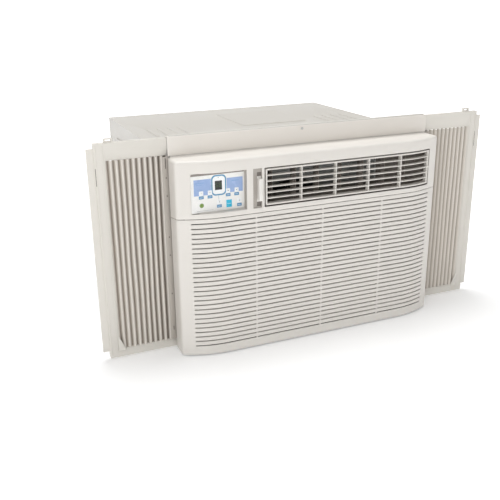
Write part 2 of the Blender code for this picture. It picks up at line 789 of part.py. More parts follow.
def build_grille_frame(plastic):
    """Fixed frame behind the grille: two legs and a lower bar with the hinge sockets."""
    leg_outer = SLEEVE_INNER - GAP
    leg_inner = leg_outer - FRAME_LEG
    leg_z = (BOTTOM_RAIL_Z + BOTTOM_RAIL_HEIGHT + 0.002, DUCT_BASE)
    solids = [box((-leg_outer, leg_outer), (FRAME_FRONT, FRAME_FRONT + FRAME_BAR), FRAME_BAR_Z)]
    for sign in (-1, 1):
        across = sorted((sign * leg_inner, sign * leg_outer))
        solids.append(box(across, (FRAME_FRONT, FRAME_BACK), leg_z))
        for offset in (-HINGE_SOCKET_OFFSET, HINGE_SOCKET_OFFSET):
            middle = sign * HINGE_X + offset
            solids.append(hinge_socket(middle - HINGE_SOCKET_HALF_WIDTH, middle + HINGE_SOCKET_HALF_WIDTH))
    through = [(CORD_HOLE, FRAME_FRONT - 0.002), (CORD_HOLE, FRAME_FRONT + 0.010)]
    hole = turned_y(through, CORD_X, CORD_Z, 16)
    place("grille_frame", cut(united(*solids), hole), plastic)


def build_cord_bushing(rubber):
    fit = CORD_HOLE - GAP
    seat = FRAME_FRONT - GAP
    front = seat - 0.0025
    back = FRAME_FRONT + 0.0095
    profile = [
        (CORD_BORE, front), (fit + CORD_FLANGE, front), (fit + CORD_FLANGE, seat),
        (fit, seat), (fit, back), (CORD_BORE, back),
    ]
    place("cord_bushing", turned_y(profile, CORD_X, CORD_Z, 16, closed=True), rubber, smooth=True)


# ---------------------------------------------------------------- controls

def build_controls(plastic, glass, key_look, board_look, can_look, steel):
    """Recessed control panel with the lever's guide, its buttons, display, board and steel box."""
    place("control_panel", control_panel(), plastic)

    back = CONTROL_FACE + CONTROL_PLATE
    x, z = DISPLAY_CENTRE
    half_x, half_z = DISPLAY_SIZE[0] / 2, DISPLAY_SIZE[1] / 2
    glass_depth = (CONTROL_FACE - GAP, back + 0.0005)
    window = box((x - half_x, x + half_x), glass_depth, (z - half_z, z + half_z))
    place("display_window", window, glass)

    front = CONTROL_FACE - BUTTON_PROUD
    profile = [
        (BUTTON_RADIUS - BUTTON_EDGE, front), (BUTTON_RADIUS, front + BUTTON_EDGE),
        (BUTTON_RADIUS, front + BUTTON_LENGTH),
    ]
    for name, (bx, bz) in BUTTON_PLACES.items():
        place(name, turned_y(profile, bx, bz, 16), key_look, origin=point(bx, front, bz), smooth=True)

    board_front = CONTROL_REAR + GAP
    board_z = (OPENING_BOTTOM + CONTROL_INSET - 0.0015, OPENING_TOP - CONTROL_INSET + 0.0015)
    board = box((BOARD_LEFT, CONTROL_RIGHT), (board_front, board_front + BOARD_THICKNESS), board_z)
    place("control_board", board, board_look)

    bottom, top = DUCT_BASE + GAP, SCROLL_TOP
    outline = rectangle(BOX_LEFT, LEVER_LEFT, bottom, top)
    inside = rectangle(BOX_LEFT + SHEET, LEVER_LEFT - SHEET, bottom + SHEET, top - SHEET)
    depths = [(outline, BOX_BACK), (outline, BOX_FRONT), (inside, BOX_FRONT), (inside, BOX_BACK - SHEET)]
    place("control_box", loft([[point(a, d, b) for a, b in line] for line, d in depths]), steel)

    foot = bottom + SHEET + GAP
    profile = [(CAPACITOR_RADIUS, foot), (CAPACITOR_RADIUS, foot + CAPACITOR_HEIGHT)]
    place("run_capacitor", turned_z(profile, CAPACITOR_X, 0.0, 16), can_look, smooth=True)


def control_panel():
    """The recessed plate between two shelves, with a side wall that carries the lever's guide."""
    low, high = OPENING_BOTTOM + CONTROL_INSET, OPENING_TOP - CONTROL_INSET
    base, roof = low - SHELF_THICKNESS + SHELF_OVERLAP, high + SHELF_THICKNESS - SHELF_OVERLAP
    back = CONTROL_FACE + CONTROL_PLATE
    through = (CONTROL_FACE - 0.01, back + 0.01)
    x, z = DISPLAY_CENTRE
    half_x, half_z = DISPLAY_SIZE[0] / 2 + GAP, DISPLAY_SIZE[1] / 2 + GAP
    holes = [box((x - half_x, x + half_x), through, (z - half_z, z + half_z))]
    for bx, bz in BUTTON_PLACES.values():
        holes.append(turned_y([(BUTTON_RADIUS + GAP, d) for d in through], bx, bz, 16))
    plate_x = (CONTROL_LEFT + CONTROL_INSET, CONTROL_RIGHT + 0.004)
    plate = cut(box(plate_x, (CONTROL_FACE, back), (low, high)), *holes)

    shelf_end = LEVER_LEFT - 0.003
    stops = [*SHELF_STOPS, -FLAT_HALF_WIDTH, shelf_end]
    shelf = [(x, front_face(x) + FRONT_WALL + GAP) for x in stops]
    shelf += [(shelf_end, CONTROL_REAR), (stops[0], CONTROL_REAR)]
    upper = prism_along_z(shelf, high - SHELF_OVERLAP, roof)
    lower = prism_along_z(shelf, base, low + SHELF_OVERLAP)

    wall_left = CONTROL_RIGHT + CONTROL_INSET
    side_wall = box((wall_left, wall_left + 0.002), (GUIDE_FRONT, CONTROL_REAR), (base, roof))
    slot_x = (LEVER_X - LEVER_SLOT_WIDTH / 2, LEVER_X + LEVER_SLOT_WIDTH / 2)
    slot_half = LEVER_LENGTH / 2 + LEVER_TRAVEL + 0.0005
    guide_x = [wall_left, *slot_x, GUIDE_RIGHT]
    guide_z = [base, LEVER_Z - slot_half, LEVER_Z + slot_half, roof]
    guide = flat_grid(guide_x, guide_z, GUIDE_FRONT, GUIDE_BACK, lambda i, j: (i, j) == (1, 1))
    return united(plate, upper, lower, side_wall, guide)


# ---------------------------------------------------------------- fresh-air lever and door

def build_lever(plastic):
    """Handle in front, a slide plate behind the guide, and the rod that works the door."""
    pin_depth = DOOR_HINGE_DEPTH - DOOR_CRANK

    def bar(width, depth_range, z, height):
        return box((LEVER_X - width / 2, LEVER_X + width / 2), depth_range, (z - height / 2, z + height / 2))

    handle = bar(LEVER_WIDTH, (-FRONT_DEPTH - LEVER_PROUD, GUIDE_BACK - 0.0045), LEVER_Z, LEVER_LENGTH)
    neck = bar(LEVER_NECK, (GUIDE_BACK - 0.005, GUIDE_BACK + 0.001), LEVER_Z, LEVER_LENGTH - 0.010)
    slide = bar(LEVER_SLIDE, (GUIDE_BACK + GAP, GUIDE_BACK + 0.0023), LEVER_Z, LEVER_LENGTH + 0.008)
    rod = bar(LEVER_ROD, (GUIDE_BACK + 0.001, pin_depth + 0.003), DOOR_HINGE_Z, LEVER_ROD)
    ends = [(LEVER_PIN_RADIUS, DOOR_RIGHT - 0.003), (LEVER_PIN_RADIUS, LEVER_X)]
    pin = turned_x(ends, pin_depth, DOOR_HINGE_Z, 10)
    place("vent_lever", united(handle, neck, slide, rod, pin), plastic,
          origin=point(LEVER_X, -FRONT_DEPTH, LEVER_Z))


def build_door(plastic):
    """Fresh-air flap in front of the bulkhead, drawn half open, with a forked crank."""
    def turn(along, across):
        sine, cosine = math.sin(DOOR_ANGLE), math.cos(DOOR_ANGLE)
        depth = DOOR_HINGE_DEPTH - along * sine + across * cosine
        return depth, DOOR_HINGE_Z - along * cosine - across * sine

    half = DOOR_SHEET / 2
    left = DOOR_RIGHT - DOOR_WIDTH
    section = [turn(0, -half), turn(DOOR_LENGTH, -half), turn(DOOR_LENGTH, half), turn(0, half)]
    flap = prism_along_x(section, left, DOOR_RIGHT - 0.004)
    ends = [(DOOR_BARREL_RADIUS, left), (DOOR_BARREL_RADIUS, DOOR_RIGHT)]
    barrel = turned_x(ends, DOOR_HINGE_DEPTH, DOOR_HINGE_Z, 12)
    tip = DOOR_HINGE_DEPTH - DOOR_CRANK - 0.008
    root = DOOR_HINGE_DEPTH - DOOR_CRANK + 0.006
    z = DOOR_HINGE_Z
    slot, edge = DOOR_FORK_GAP / 2, DOOR_FORK / 2
    fork = [
        (tip, z + slot), (root, z + slot), (root, z - slot), (tip, z - slot), (tip, z - edge),
        (DOOR_HINGE_DEPTH, z - edge), (DOOR_HINGE_DEPTH, z + edge), (tip, z + edge),
    ]
    crank = prism_along_x(fork, DOOR_RIGHT - 0.0025, DOOR_RIGHT - 0.0005)
    place("vent_door", united(barrel, flap, crank), plastic,
          origin=point(DOOR_RIGHT, DOOR_HINGE_DEPTH, DOOR_HINGE_Z))


# ---------------------------------------------------------------- vent

def duct_section():
    """Inner x and z range of the discharge duct behind the vent opening."""
    x_range = (VENT_LEFT - DUCT_SIDE_MARGIN, VENT_RIGHT + DUCT_SIDE_MARGIN)
    return x_range, (OPENING_BOTTOM - DUCT_MARGIN, OPENING_TOP + DUCT_TOP_MARGIN)


def build_lattice(plastic):
    left, right = VENT_LEFT + LATTICE_SIDE_GAP, VENT_RIGHT - LATTICE_SIDE_GAP
    low, high = OPENING_BOTTOM + LATTICE_GAP, OPENING_TOP - LATTICE_GAP
    pitch = (right - left) / LATTICE_COLUMNS
    bars = edges_of(left + pitch - LATTICE_DIVIDER / 2, LATTICE_COLUMNS - 1, pitch, LATTICE_DIVIDER)
    stops = sorted([left, left + LATTICE_RIM, *bars, *LATTICE_CURVE_STOPS, right - LATTICE_RIM, right])
    clear = high - low - 2 * LATTICE_RIM - (LATTICE_ROWS - 1) * LATTICE_SLAT
    gap = clear / LATTICE_ROWS
    levels = [low, *edges_of(low + LATTICE_RIM, LATTICE_ROWS, gap + LATTICE_SLAT, gap), high]

    def front(i, j):
        return point(stops[i], front_face(stops[i]) + LATTICE_INSET, levels[j])

    def back(i, j):
        return point(stops[i], front_face(stops[i]) + LATTICE_INSET + LATTICE_DEPTH, levels[j])

    def is_open(i, j):
        wide = stops[i + 1] - stops[i] > LATTICE_RIM + 1e-6
        return j % 2 == 1 and wide

    body = grid_sheet(len(stops), len(levels), front, back, is_open)
    duct_left = duct_section()[0][0]
    pins = []
    for start, end in ((duct_left + GAP, left + 0.001), (right - 0.001, VENT_RIGHT - GAP)):
        profile = [(TRUNNION_RADIUS, start), (TRUNNION_RADIUS, end)]
        pins.append(turned_x(profile, LATTICE_AXIS_DEPTH, LATTICE_Z, 10))
    axis = point((left + right) / 2, LATTICE_AXIS_DEPTH, LATTICE_Z)
    place("vent_lattice", united(body, *pins), plastic, origin=axis)


def vane_places():
    middle = (VENT_LEFT + VENT_RIGHT) / 2 + VANE_OFFSET
    return [middle + (i - (VANE_COUNT - 1) / 2) * VANE_PITCH for i in range(VANE_COUNT)]


def build_vanes(plastic):
    floor, roof = duct_section()[1]
    link_base = floor + LINK_RISE
    link_top = link_base + LINK_THICKNESS
    crank_depth = VANE_AXIS_DEPTH + VANE_CRANK
    half = VANE_SHEET / 2
    blade_depth = (VANE_AXIS_DEPTH - VANE_FRONT, VANE_AXIS_DEPTH + VANE_BACK)
    blade_z = (link_top + 0.0008, roof - 0.002)
    pivot_line = [(VANE_PIN_RADIUS, floor + GAP), (VANE_PIN_RADIUS, roof - GAP)]
    crank_line = [(VANE_CRANK_RADIUS, link_base - 0.0006), (VANE_CRANK_RADIUS, link_top + 0.003)]
    places = vane_places()
    for number, x in enumerate(places, start=1):
        blade = box((x - half, x + half), blade_depth, blade_z)
        pivot = turned_z(pivot_line, x, VANE_AXIS_DEPTH, 10)
        crank = turned_z(crank_line, x, crank_depth, 8)
        vane = united(blade, pivot, crank)
        place(f"vane_{number}", vane, plastic, origin=point(x, VANE_AXIS_DEPTH, LATTICE_Z))

    slots = edges_of(places[0] - LINK_SLOT_HALF, VANE_COUNT, VANE_PITCH, 2 * LINK_SLOT_HALF)
    across = [places[0] - LINK_END, *slots, places[-1] + LINK_END]
    along = [crank_depth + d for d in (-LINK_WIDTH / 2, *LINK_SLOT_DEPTHS, LINK_WIDTH / 2)]
    bar = grid_sheet(
        len(across), len(along),
        lambda i, j: point(across[i], along[j], link_base),
        lambda i, j: point(across[i], along[j], link_top),
        lambda i, j: i % 2 == 1 and j == 1,
    )
    place("vane_link", bar, plastic, origin=point(places[0], crank_depth, link_base))


def build_duct(plastic):
    """Discharge duct from the blower's outlet forward to the vent opening."""
    (x0, x1), (z0, z1) = duct_section()
    back_x = (ROTOR_X - SCROLL_RADIUS + DUCT_WALL, ROTOR_X + SCROLL_RADIUS - DUCT_WALL)
    back_z = (DUCT_BASE + 0.0015 + DUCT_WALL, SCROLL_TOP - DUCT_WALL)
    left_front = GUIDE_FRONT
    right_front = front_face(VENT_RIGHT + 0.006) + FRONT_WALL + 0.001

    def ring(xs, zs, grow, left, right):
        corners = [(xs[0] - grow, zs[0] - grow, left), (xs[1] + grow, zs[0] - grow, right),
                   (xs[1] + grow, zs[1] + grow, right), (xs[0] - grow, zs[1] + grow, left)]
        return [point(x, d, z) for x, z, d in corners]

    bend, end = DUCT_BEND, SCROLL_FRONT - GAP
    rings = [
        ring((x0, x1), (z0, z1), DUCT_WALL, left_front, right_front),
        ring((x0, x1), (z0, z1), DUCT_WALL, bend, bend),
        ring(back_x, back_z, DUCT_WALL, end, end),
        ring(back_x, back_z, 0, end, end),
        ring((x0, x1), (z0, z1), 0, bend, bend),
        ring((x0, x1), (z0, z1), 0, left_front, right_front),
    ]
    place("air_duct", loft(rings, closed=True), plastic)


# ---------------------------------------------------------------- evaporator and blower

def coil(half_width, front, depth, z0, z1, end_front, end_back):
    """A finned block between two deeper end plates, as one upright H-shaped solid."""
    back = front + depth
    inner = half_width - END_SHEET
    outline = [
        (-half_width, end_front), (-inner, end_front), (-inner, front), (inner, front), (inner, end_front),
        (half_width, end_front), (half_width, end_back), (inner, end_back), (inner, back), (-inner, back),
        (-inner, end_back), (-half_width, end_back),
    ]
    return prism_along_z(outline, z0, z1)


def build_evaporator(aluminium, foam):
    base = BOTTOM_RAIL_Z + BOTTOM_RAIL_HEIGHT + GAP
    floor = base + 0.002
    front, back = EVAPORATOR_FRONT, EVAPORATOR_FRONT + EVAPORATOR_DEPTH
    heights = (floor + GAP, EVAPORATOR_TOP)
    solid = coil(EVAPORATOR_HALF_WIDTH, front, EVAPORATOR_DEPTH, *heights, front - 0.0015, back + 0.0015)
    place("evaporator_coil", solid, aluminium)
    edge = SLEEVE_INNER - 2 * GAP - FRAME_LEG
    start = FRAME_FRONT + FRAME_BAR + GAP
    wall = DRAIN_WALL
    outline = rectangle(-edge, edge, start, DRAIN_BACK)
    inside = rectangle(-edge + wall, edge - wall, start + wall, DRAIN_BACK - wall)
    place("drain_pan", tray(outline, inside, base, base + DRAIN_RIM, floor), foam)


def star_ring(centre, outline, angles):
    """Points where rays from a centre meet a closed convex outline, one for each angle."""
    found = []
    for angle in angles:
        dx, dz = math.cos(angle), math.sin(angle)
        for (ax, az), (bx, bz) in zip(outline, outline[1:] + outline[:1]):
            ex, ez = bx - ax, bz - az
            base = dx * ez - dz * ex
            if abs(base) < 1e-12:
                continue
            reach = ((ax - centre[0]) * ez - (az - centre[1]) * ex) / base
            share = ((ax - centre[0]) * dz - (az - centre[1]) * dx) / base
            if reach > 0 and -1e-9 <= share <= 1 + 1e-9:
                found.append((centre[0] + reach * dx, centre[1] + reach * dz))
                break
    return found


def ring_angles(centre, corners, count):
    """Even angles round a centre, plus the exact angle of each corner."""
    even = [2 * math.pi * i / count for i in range(count)]
    exact = [math.atan2(z - centre[1], x - centre[0]) % (2 * math.pi) for x, z in corners]
    spaced = [a for a in even if all(abs(a - b) > 0.04 for b in exact)]
    return sorted(spaced + exact)


def rotor_ring(radius, angles):
    """Points of a circle about the fan shaft, one at each angle."""
    return [(ROTOR_X + radius * math.cos(a), ROTOR_Z + radius * math.sin(a)) for a in angles]


def scroll_outline(wall, top):
    """U-shaped outline of the blower housing: straight sides over a half-round bottom."""
    radius = SCROLL_RADIUS - wall
    lower = rotor_ring(radius, [math.pi + math.pi * i / 14 for i in range(15)])
    return [(ROTOR_X - radius, top - wall), *lower, (ROTOR_X + radius, top - wall)]


def build_blower(foam, plastic):
    """Open-fronted blower housing on the bulkhead, its inlet plate, and the squirrel-cage wheel."""
    centre = (ROTOR_X, ROTOR_Z)
    back = BULKHEAD - GAP
    outer = scroll_outline(0.0, SCROLL_TOP)
    inner = scroll_outline(SCROLL_WALL, SCROLL_TOP)
    hole = rotor_ring(SHAFT_PORT_RADIUS, [math.atan2(z - ROTOR_Z, x - ROTOR_X) for x, z in outer])
    levels = [
        (hole, back), (outer, back), (outer, SCROLL_FRONT), (inner, SCROLL_FRONT),
        (inner, back - SCROLL_WALL), (hole, back - SCROLL_WALL),
    ]
    rings = [[point(x, d, z) for x, z in line] for line, d in levels]
    place("blower_scroll", loft(rings, closed=True), foam)

    rim = scroll_outline(0.0, DUCT_BASE)
    spokes = ring_angles(centre, rim, 12)
    line = star_ring(centre, rim, spokes)
    inlet = rotor_ring(INLET_RADIUS, spokes)
    flare = rotor_ring(INLET_RADIUS - INLET_SHEET, spokes)
    front = SCROLL_FRONT - GAP - INLET_SHEET
    back = front + INLET_SHEET
    lip = back + INLET_LIP
    levels = [(line, front), (line, back), (inlet, back), (inlet, lip), (flare, lip), (flare, front)]
    rings = [[point(x, d, z) for x, z in ring] for ring, d in levels]
    place("blower_inlet_plate", loft(rings, closed=True), plastic)


def build_rotor(plastic, steel):
    """Shaft, blower wheel and condenser fan on one axis."""
    origin = point(ROTOR_X, SHAFT_FRONT, ROTOR_Z)
    end = FAN_FRONT + FAN_DEPTH + 0.006
    shaft = turned_y([(SHAFT_RADIUS, SHAFT_FRONT), (SHAFT_RADIUS, end)], ROTOR_X, ROTOR_Z, 16)
    place("fan_shaft", shaft, steel, origin=origin, smooth=True)

    bore = SHAFT_RADIUS + GAP
    back = BULKHEAD - GAP - SCROLL_WALL - BLOWER_CLEARANCE
    front = back - BLOWER_LENGTH
    band_back, band_front = back - BLOWER_BACK_BAND, front + BLOWER_FRONT_BAND
    rim = BLOWER_RADIUS
    band = BLOWER_RADIUS - BLOWER_BLADE
    outside = [(bore, back), (rim, back), (rim, band_back), (rim, band_front), (rim, front)]
    dish = back - 0.0025
    inside = [(bore, back - 0.012), (band, dish), (band, band_back), (band, band_front), (band, front)]
    count = 2 * BLOWER_BLADES

    def turned(line):
        def corner(i, j):
            radius, depth = line[j]
            angle = 2 * math.pi * i / count
            return point(ROTOR_X + radius * math.cos(angle), depth, ROTOR_Z + radius * math.sin(angle))
        return corner

    def between_bands(i, j):
        return j == 2 and i % 2 == 1

    wheel = grid_sheet(count, len(outside), turned(outside), turned(inside), between_bands, wrap=True)
    place("blower_wheel", wheel, plastic, origin=origin)

    fan_back = FAN_FRONT + FAN_DEPTH
    hub_line = rectangle(bore, FAN_HUB_RADIUS, FAN_FRONT, fan_back)
    hub = turned_y(hub_line, ROTOR_X, ROTOR_Z, 20, closed=True)
    ring_line = rectangle(FAN_RADIUS - FAN_RING_WALL, FAN_RADIUS, fan_back - FAN_RING_LENGTH, fan_back)
    slinger = turned_y(ring_line, ROTOR_X, ROTOR_Z, 40, closed=True)
    blades = [fan_blade(2 * math.pi * k / FAN_BLADES) for k in range(FAN_BLADES)]
    place("condenser_fan", united(hub, slinger, *blades), plastic, origin=origin)


def fan_blade(start):
    """One twisted blade from the hub to the slinger ring."""
    sections = []
    middle = FAN_FRONT + FAN_DEPTH / 2 + 0.001
    for share in (0.0, 0.35, 0.7, 1.0):
        radius = FAN_BLADE_ROOT + share * (FAN_RADIUS - FAN_RING_WALL / 2 - FAN_BLADE_ROOT)
        sweep = start + 0.35 * share
        half_chord = 0.30 - 0.02 * share
        lean = 0.010 - 0.002 * share
        thick = FAN_BLADE_THICKNESS
        leading, trailing = rotor_ring(radius, [sweep - half_chord, sweep + half_chord])
        sections.append([
            point(leading[0], middle - lean, leading[1]),
            point(trailing[0], middle + lean, trailing[1]),
            point(trailing[0], middle + lean + thick, trailing[1]),
            point(leading[0], middle - lean + thick, leading[1]),
        ])
    return loft(sections)


# ---------------------------------------------------------------- bulkhead and outdoor side

def build_bulkhead(steel):
    edge = SLEEVE_INNER - GAP - PAN_SHEET - GAP
    margin_low, margin_high = DOOR_PORT_MARGINS
    port_x = (DOOR_RIGHT - DOOR_WIDTH + margin_low, DOOR_RIGHT - margin_high)
    port_z = (DOOR_HINGE_Z - DOOR_LENGTH + margin_low, DOOR_HINGE_Z - margin_high)
    shaft_x, shaft_z = [(middle - SHAFT_NOTCH, middle + SHAFT_NOTCH) for middle in (ROTOR_X, ROTOR_Z)]
    top = CABINET_HEIGHT - SHEET - GAP
    across = [-edge, *PIPE_NOTCH_X, *port_x, *shaft_x, edge]
    up = [PAN_TOP + GAP, *CAPILLARY_NOTCH_Z, *shaft_z, *SUCTION_NOTCH_Z, *port_z, top]
    holes = {(1, 1), (1, 5), (3, 7), (5, 3)}
    sheet = flat_grid(across, up, BULKHEAD, BULKHEAD_BACK, lambda i, j: (i, j) in holes)
    left = DOOR_RIGHT - DOOR_WIDTH - GAP
    lug_depth = (DOOR_HINGE_DEPTH - 0.005, BULKHEAD + 0.0005)
    lug = box((left - 0.0025, left), lug_depth, (DOOR_HINGE_Z - 0.005, DOOR_HINGE_Z + 0.005))
    place("bulkhead", united(sheet, lug), steel)


def build_motor(paint, steel):
    bore = SHAFT_RADIUS + GAP
    back = MOTOR_FRONT + MOTOR_LENGTH
    rim = MOTOR_RADIUS - MOTOR_EDGE
    profile = [
        (bore, MOTOR_FRONT - BEARING_FRONT), (BEARING_RADIUS, MOTOR_FRONT - BEARING_FRONT),
        (BEARING_RADIUS, MOTOR_FRONT), (rim, MOTOR_FRONT), (MOTOR_RADIUS, MOTOR_FRONT + MOTOR_EDGE),
        (MOTOR_RADIUS, back - MOTOR_EDGE), (rim, back), (BEARING_RADIUS, back),
        (BEARING_RADIUS, back + BEARING_BACK), (bore, back + BEARING_BACK),
    ]
    place("fan_motor", turned_y(profile, ROTOR_X, ROTOR_Z, 20, closed=True), paint, smooth=True)

    cradle = MOTOR_RADIUS + CRADLE_CLEARANCE
    reach = math.asin(STAND_HALF_WIDTH / cradle)
    arc = [reach - 2 * reach * i / 10 for i in range(11)]
    saddle = [(ROTOR_X + cradle * math.sin(a), ROTOR_Z - cradle * math.cos(a)) for a in arc]
    base = PAN_TOP + GAP
    foot = STAND_HALF_WIDTH + STAND_FOOT
    feet = [(ROTOR_X - foot, base), (ROTOR_X + foot, base)]
    start = MOTOR_FRONT + (MOTOR_LENGTH - STAND_LENGTH) / 2
    place("motor_stand", prism_along_y(feet + saddle, start, start + STAND_LENGTH), steel)


def build_condenser(aluminium, steel):
    front = SHROUD_DEPTH + SHROUD_SHEET + GAP
    fins = front + CONDENSER_INSET
    back = front + CONDENSER_END_DEPTH
    base = PAN_TOP + GAP
    solid = coil(CONDENSER_HALF_WIDTH, fins, CONDENSER_DEPTH, base, CONDENSER_TOP, front, back)
    place("condenser_coil", solid, aluminium)

    hole = FAN_RADIUS + SHROUD_CLEARANCE
    centre = (ROTOR_X, ROTOR_Z)
    plate = rectangle(-CONDENSER_HALF_WIDTH, CONDENSER_HALF_WIDTH, base, CONDENSER_TOP)
    spokes = ring_angles(centre, plate, 32)
    line = star_ring(centre, plate, spokes)

    inside, outside = rotor_ring(hole, spokes), rotor_ring(hole + SHROUD_SHEET, spokes)
    plate_back = SHROUD_DEPTH + SHROUD_SHEET
    collar = SHROUD_DEPTH - SHROUD_COLLAR
    levels = [
        (line, SHROUD_DEPTH), (line, plate_back), (inside, plate_back),
        (inside, collar), (outside, collar), (outside, SHROUD_DEPTH),
    ]
    rings = [[point(x, d, z) for x, z in outline] for outline, d in levels]
    place("fan_shroud", loft(rings, closed=True), steel)


def build_compressor(paint, rubber, copper):
    """Hermetic compressor on three rubber grommets, with its accumulator beside it."""
    foot = PAN_TOP + GAP + GROMMET_HEIGHT + GAP
    top = foot + COMPRESSOR_HEIGHT
    spots = [math.radians(a) for a in (90, 210, 330)]
    for number, angle in enumerate(spots, start=1):
        x = COMPRESSOR_X + FOOT_RADIUS * math.cos(angle)
        depth = COMPRESSOR_DEPTH + FOOT_RADIUS * math.sin(angle)
        profile = [(GROMMET_RADIUS, PAN_TOP + GAP), (GROMMET_RADIUS, foot - GAP)]
        place(f"compressor_grommet_{number}", turned_z(profile, x, depth, 12), rubber, smooth=True)
    corner = FOOT_RADIUS + FOOT_REACH
    turns = [spot + side for spot in spots for side in (-FOOT_TURN, FOOT_TURN)]
    corners = [(COMPRESSOR_X + corner * math.cos(a), COMPRESSOR_DEPTH + corner * math.sin(a)) for a in turns]
    plate = prism_along_z(corners, foot, foot + FOOT_SHEET)
    r = COMPRESSOR_RADIUS
    profile = [
        (r - 0.012, foot + 0.001), (r, foot + 0.020), (r, top - 0.060),
        (r - 0.008, top - 0.030), (r - 0.030, top - 0.008), (0.016, top),
    ]
    body = turned_z(profile, COMPRESSOR_X, COMPRESSOR_DEPTH, 24)
    place("compressor", united(plate, body), paint)

    base, crown, r = ACCUMULATOR_BASE, ACCUMULATOR_BASE + ACCUMULATOR_HEIGHT, ACCUMULATOR_RADIUS
    neck, shoulder = ACCUMULATOR_NECK, ACCUMULATOR_SHOULDER
    profile = [(neck, base), (r, base + shoulder), (r, crown - shoulder), (neck, crown)]
    place("accumulator", turned_z(profile, ACCUMULATOR_X, ACCUMULATOR_DEPTH, 16), paint, smooth=True)

    low = base - 0.030
    toward = Vector((ACCUMULATOR_X - COMPRESSOR_X, ACCUMULATOR_DEPTH - COMPRESSOR_DEPTH)).normalized()
    inlet = toward * (COMPRESSOR_RADIUS + GAP)
    place_tube("compressor_inlet_line", [
        (ACCUMULATOR_X, ACCUMULATOR_DEPTH, base - GAP), (ACCUMULATOR_X, ACCUMULATOR_DEPTH, low),
        (COMPRESSOR_X + inlet.x, COMPRESSOR_DEPTH + inlet.y, low),
    ], SUCTION_RADIUS, 0.012, copper)

    pipe_x = -EVAPORATOR_HALF_WIDTH - 0.0095
    start = -EVAPORATOR_HALF_WIDTH - GAP
    z = SUCTION_Z
    place_tube("suction_line", [
        (start, SUCTION_DEPTH, z), (pipe_x, SUCTION_DEPTH, z), (pipe_x, SUCTION_TURN, z),
        (ACCUMULATOR_X, ACCUMULATOR_DEPTH, z), (ACCUMULATOR_X, ACCUMULATOR_DEPTH, crown + GAP),
    ], SUCTION_RADIUS, 0.008, copper)
    side = -CONDENSER_HALF_WIDTH - GAP
    z = top + DISCHARGE_RISE
    depth = CONDENSER_PIPE_DEPTH
    place_tube("discharge_line", [
        (COMPRESSOR_X, COMPRESSOR_DEPTH, top + GAP), (COMPRESSOR_X, COMPRESSOR_DEPTH, z),
        (DISCHARGE_X, depth - 0.100, z), (DISCHARGE_X, depth, z), (side, depth, z),
    ], DISCHARGE_RADIUS, 0.012, copper)
    z = CAPILLARY_Z
    place_tube("capillary_line", [
        (side, depth, z), (CAPILLARY_X, depth, z),
        (CAPILLARY_X, CAPILLARY_DEPTH, z), (start, CAPILLARY_DEPTH, z),
    ], CAPILLARY_RADIUS, 0.008, copper)


def bent_route(corners, bend):
    """Points along straight runs with round bends."""
    places = [point(*corner) for corner in corners]
    route = [places[0]]
    for before, here, after in zip(places, places[1:], places[2:]):
        into, out = (before - here).normalized(), (after - here).normalized()
        size = min(bend, 0.45 * (before - here).length, 0.45 * (after - here).length)
        start, end = here + into * size, here + out * size
        for k in range(5):
            t = k / 4
            route.append(start * (1 - t) ** 2 + here * 2 * t * (1 - t) + end * t ** 2)
    return route + [places[-1]]


def place_tube(name, corners, radius, bend, look):
    curve = bpy.data.curves.new(name, "CURVE")
    curve.dimensions = "3D"
    curve.bevel_depth = radius
    curve.bevel_resolution = 1
    curve.use_fill_caps = True
    route = bent_route(corners, bend)
    spline = curve.splines.new("POLY")
    spline.points.add(len(route) - 1)
    for spot, place_here in zip(spline.points, route):
        spot.co = (*place_here, 1.0)
    curve.materials.append(look)
    bpy.context.collection.objects.link(bpy.data.objects.new(name, curve))


# ---------------------------------------------------------------- assembly

def build():
    clear_scene()
    case_paint = material("case_paint", (0.74, 0.71, 0.66), 0.45)
    front_plastic = material("front_plastic", (0.83, 0.80, 0.75), 0.40)
    curtain_plastic = material("curtain_plastic", (0.80, 0.78, 0.73), 0.45)
    pleat_vinyl = material("pleat_vinyl", (0.68, 0.64, 0.58), 0.50)
    zinc_steel = material("zinc_steel", (0.62, 0.63, 0.64), 0.40, metallic=1.0)
    aluminium = material("fin_aluminium", (0.78, 0.79, 0.80), 0.35, metallic=1.0)
    copper = material("copper_tube", (0.72, 0.43, 0.30), 0.35, metallic=1.0)
    black_paint = material("black_paint", (0.03, 0.03, 0.03), 0.40)
    dark_plastic = material("dark_plastic", (0.16, 0.14, 0.13), 0.50)
    foam = material("duct_foam", (0.86, 0.86, 0.84), 0.85)
    filter_mesh = material("filter_mesh", (0.22, 0.24, 0.26), 0.80)
    display = material("display_window", (0.01, 0.02, 0.01), 0.10)
    key_plastic = material("key_plastic", (0.70, 0.80, 0.82), 0.40)
    board = material("circuit_board", (0.05, 0.22, 0.10), 0.50)
    rubber = material("rubber", (0.03, 0.03, 0.03), 0.80)

    build_cabinet(case_paint)
    build_base_pan(zinc_steel)
    build_rear_guard(case_paint)
    build_rails(case_paint)
    build_curtains(curtain_plastic, pleat_vinyl)
    build_front_housing(front_plastic)
    build_grille(front_plastic)
    build_filter(filter_mesh)
    build_grille_frame(dark_plastic)
    build_cord_bushing(rubber)
    build_controls(front_plastic, display, key_plastic, board, aluminium, zinc_steel)
    build_lever(front_plastic)
    build_door(dark_plastic)
    build_lattice(front_plastic)
    build_vanes(dark_plastic)
    build_duct(foam)
    build_evaporator(aluminium, foam)
    build_blower(foam, dark_plastic)
    build_rotor(dark_plastic, zinc_steel)
    build_bulkhead(zinc_steel)
    build_motor(black_paint, zinc_steel)
    build_condenser(aluminium, zinc_steel)
    build_compressor(black_paint, rubber, copper)


build()
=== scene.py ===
"""Window air conditioner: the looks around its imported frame, section by section as the unit is put together."""
import math

import bmesh
import bpy
from mathutils import Matrix, Vector


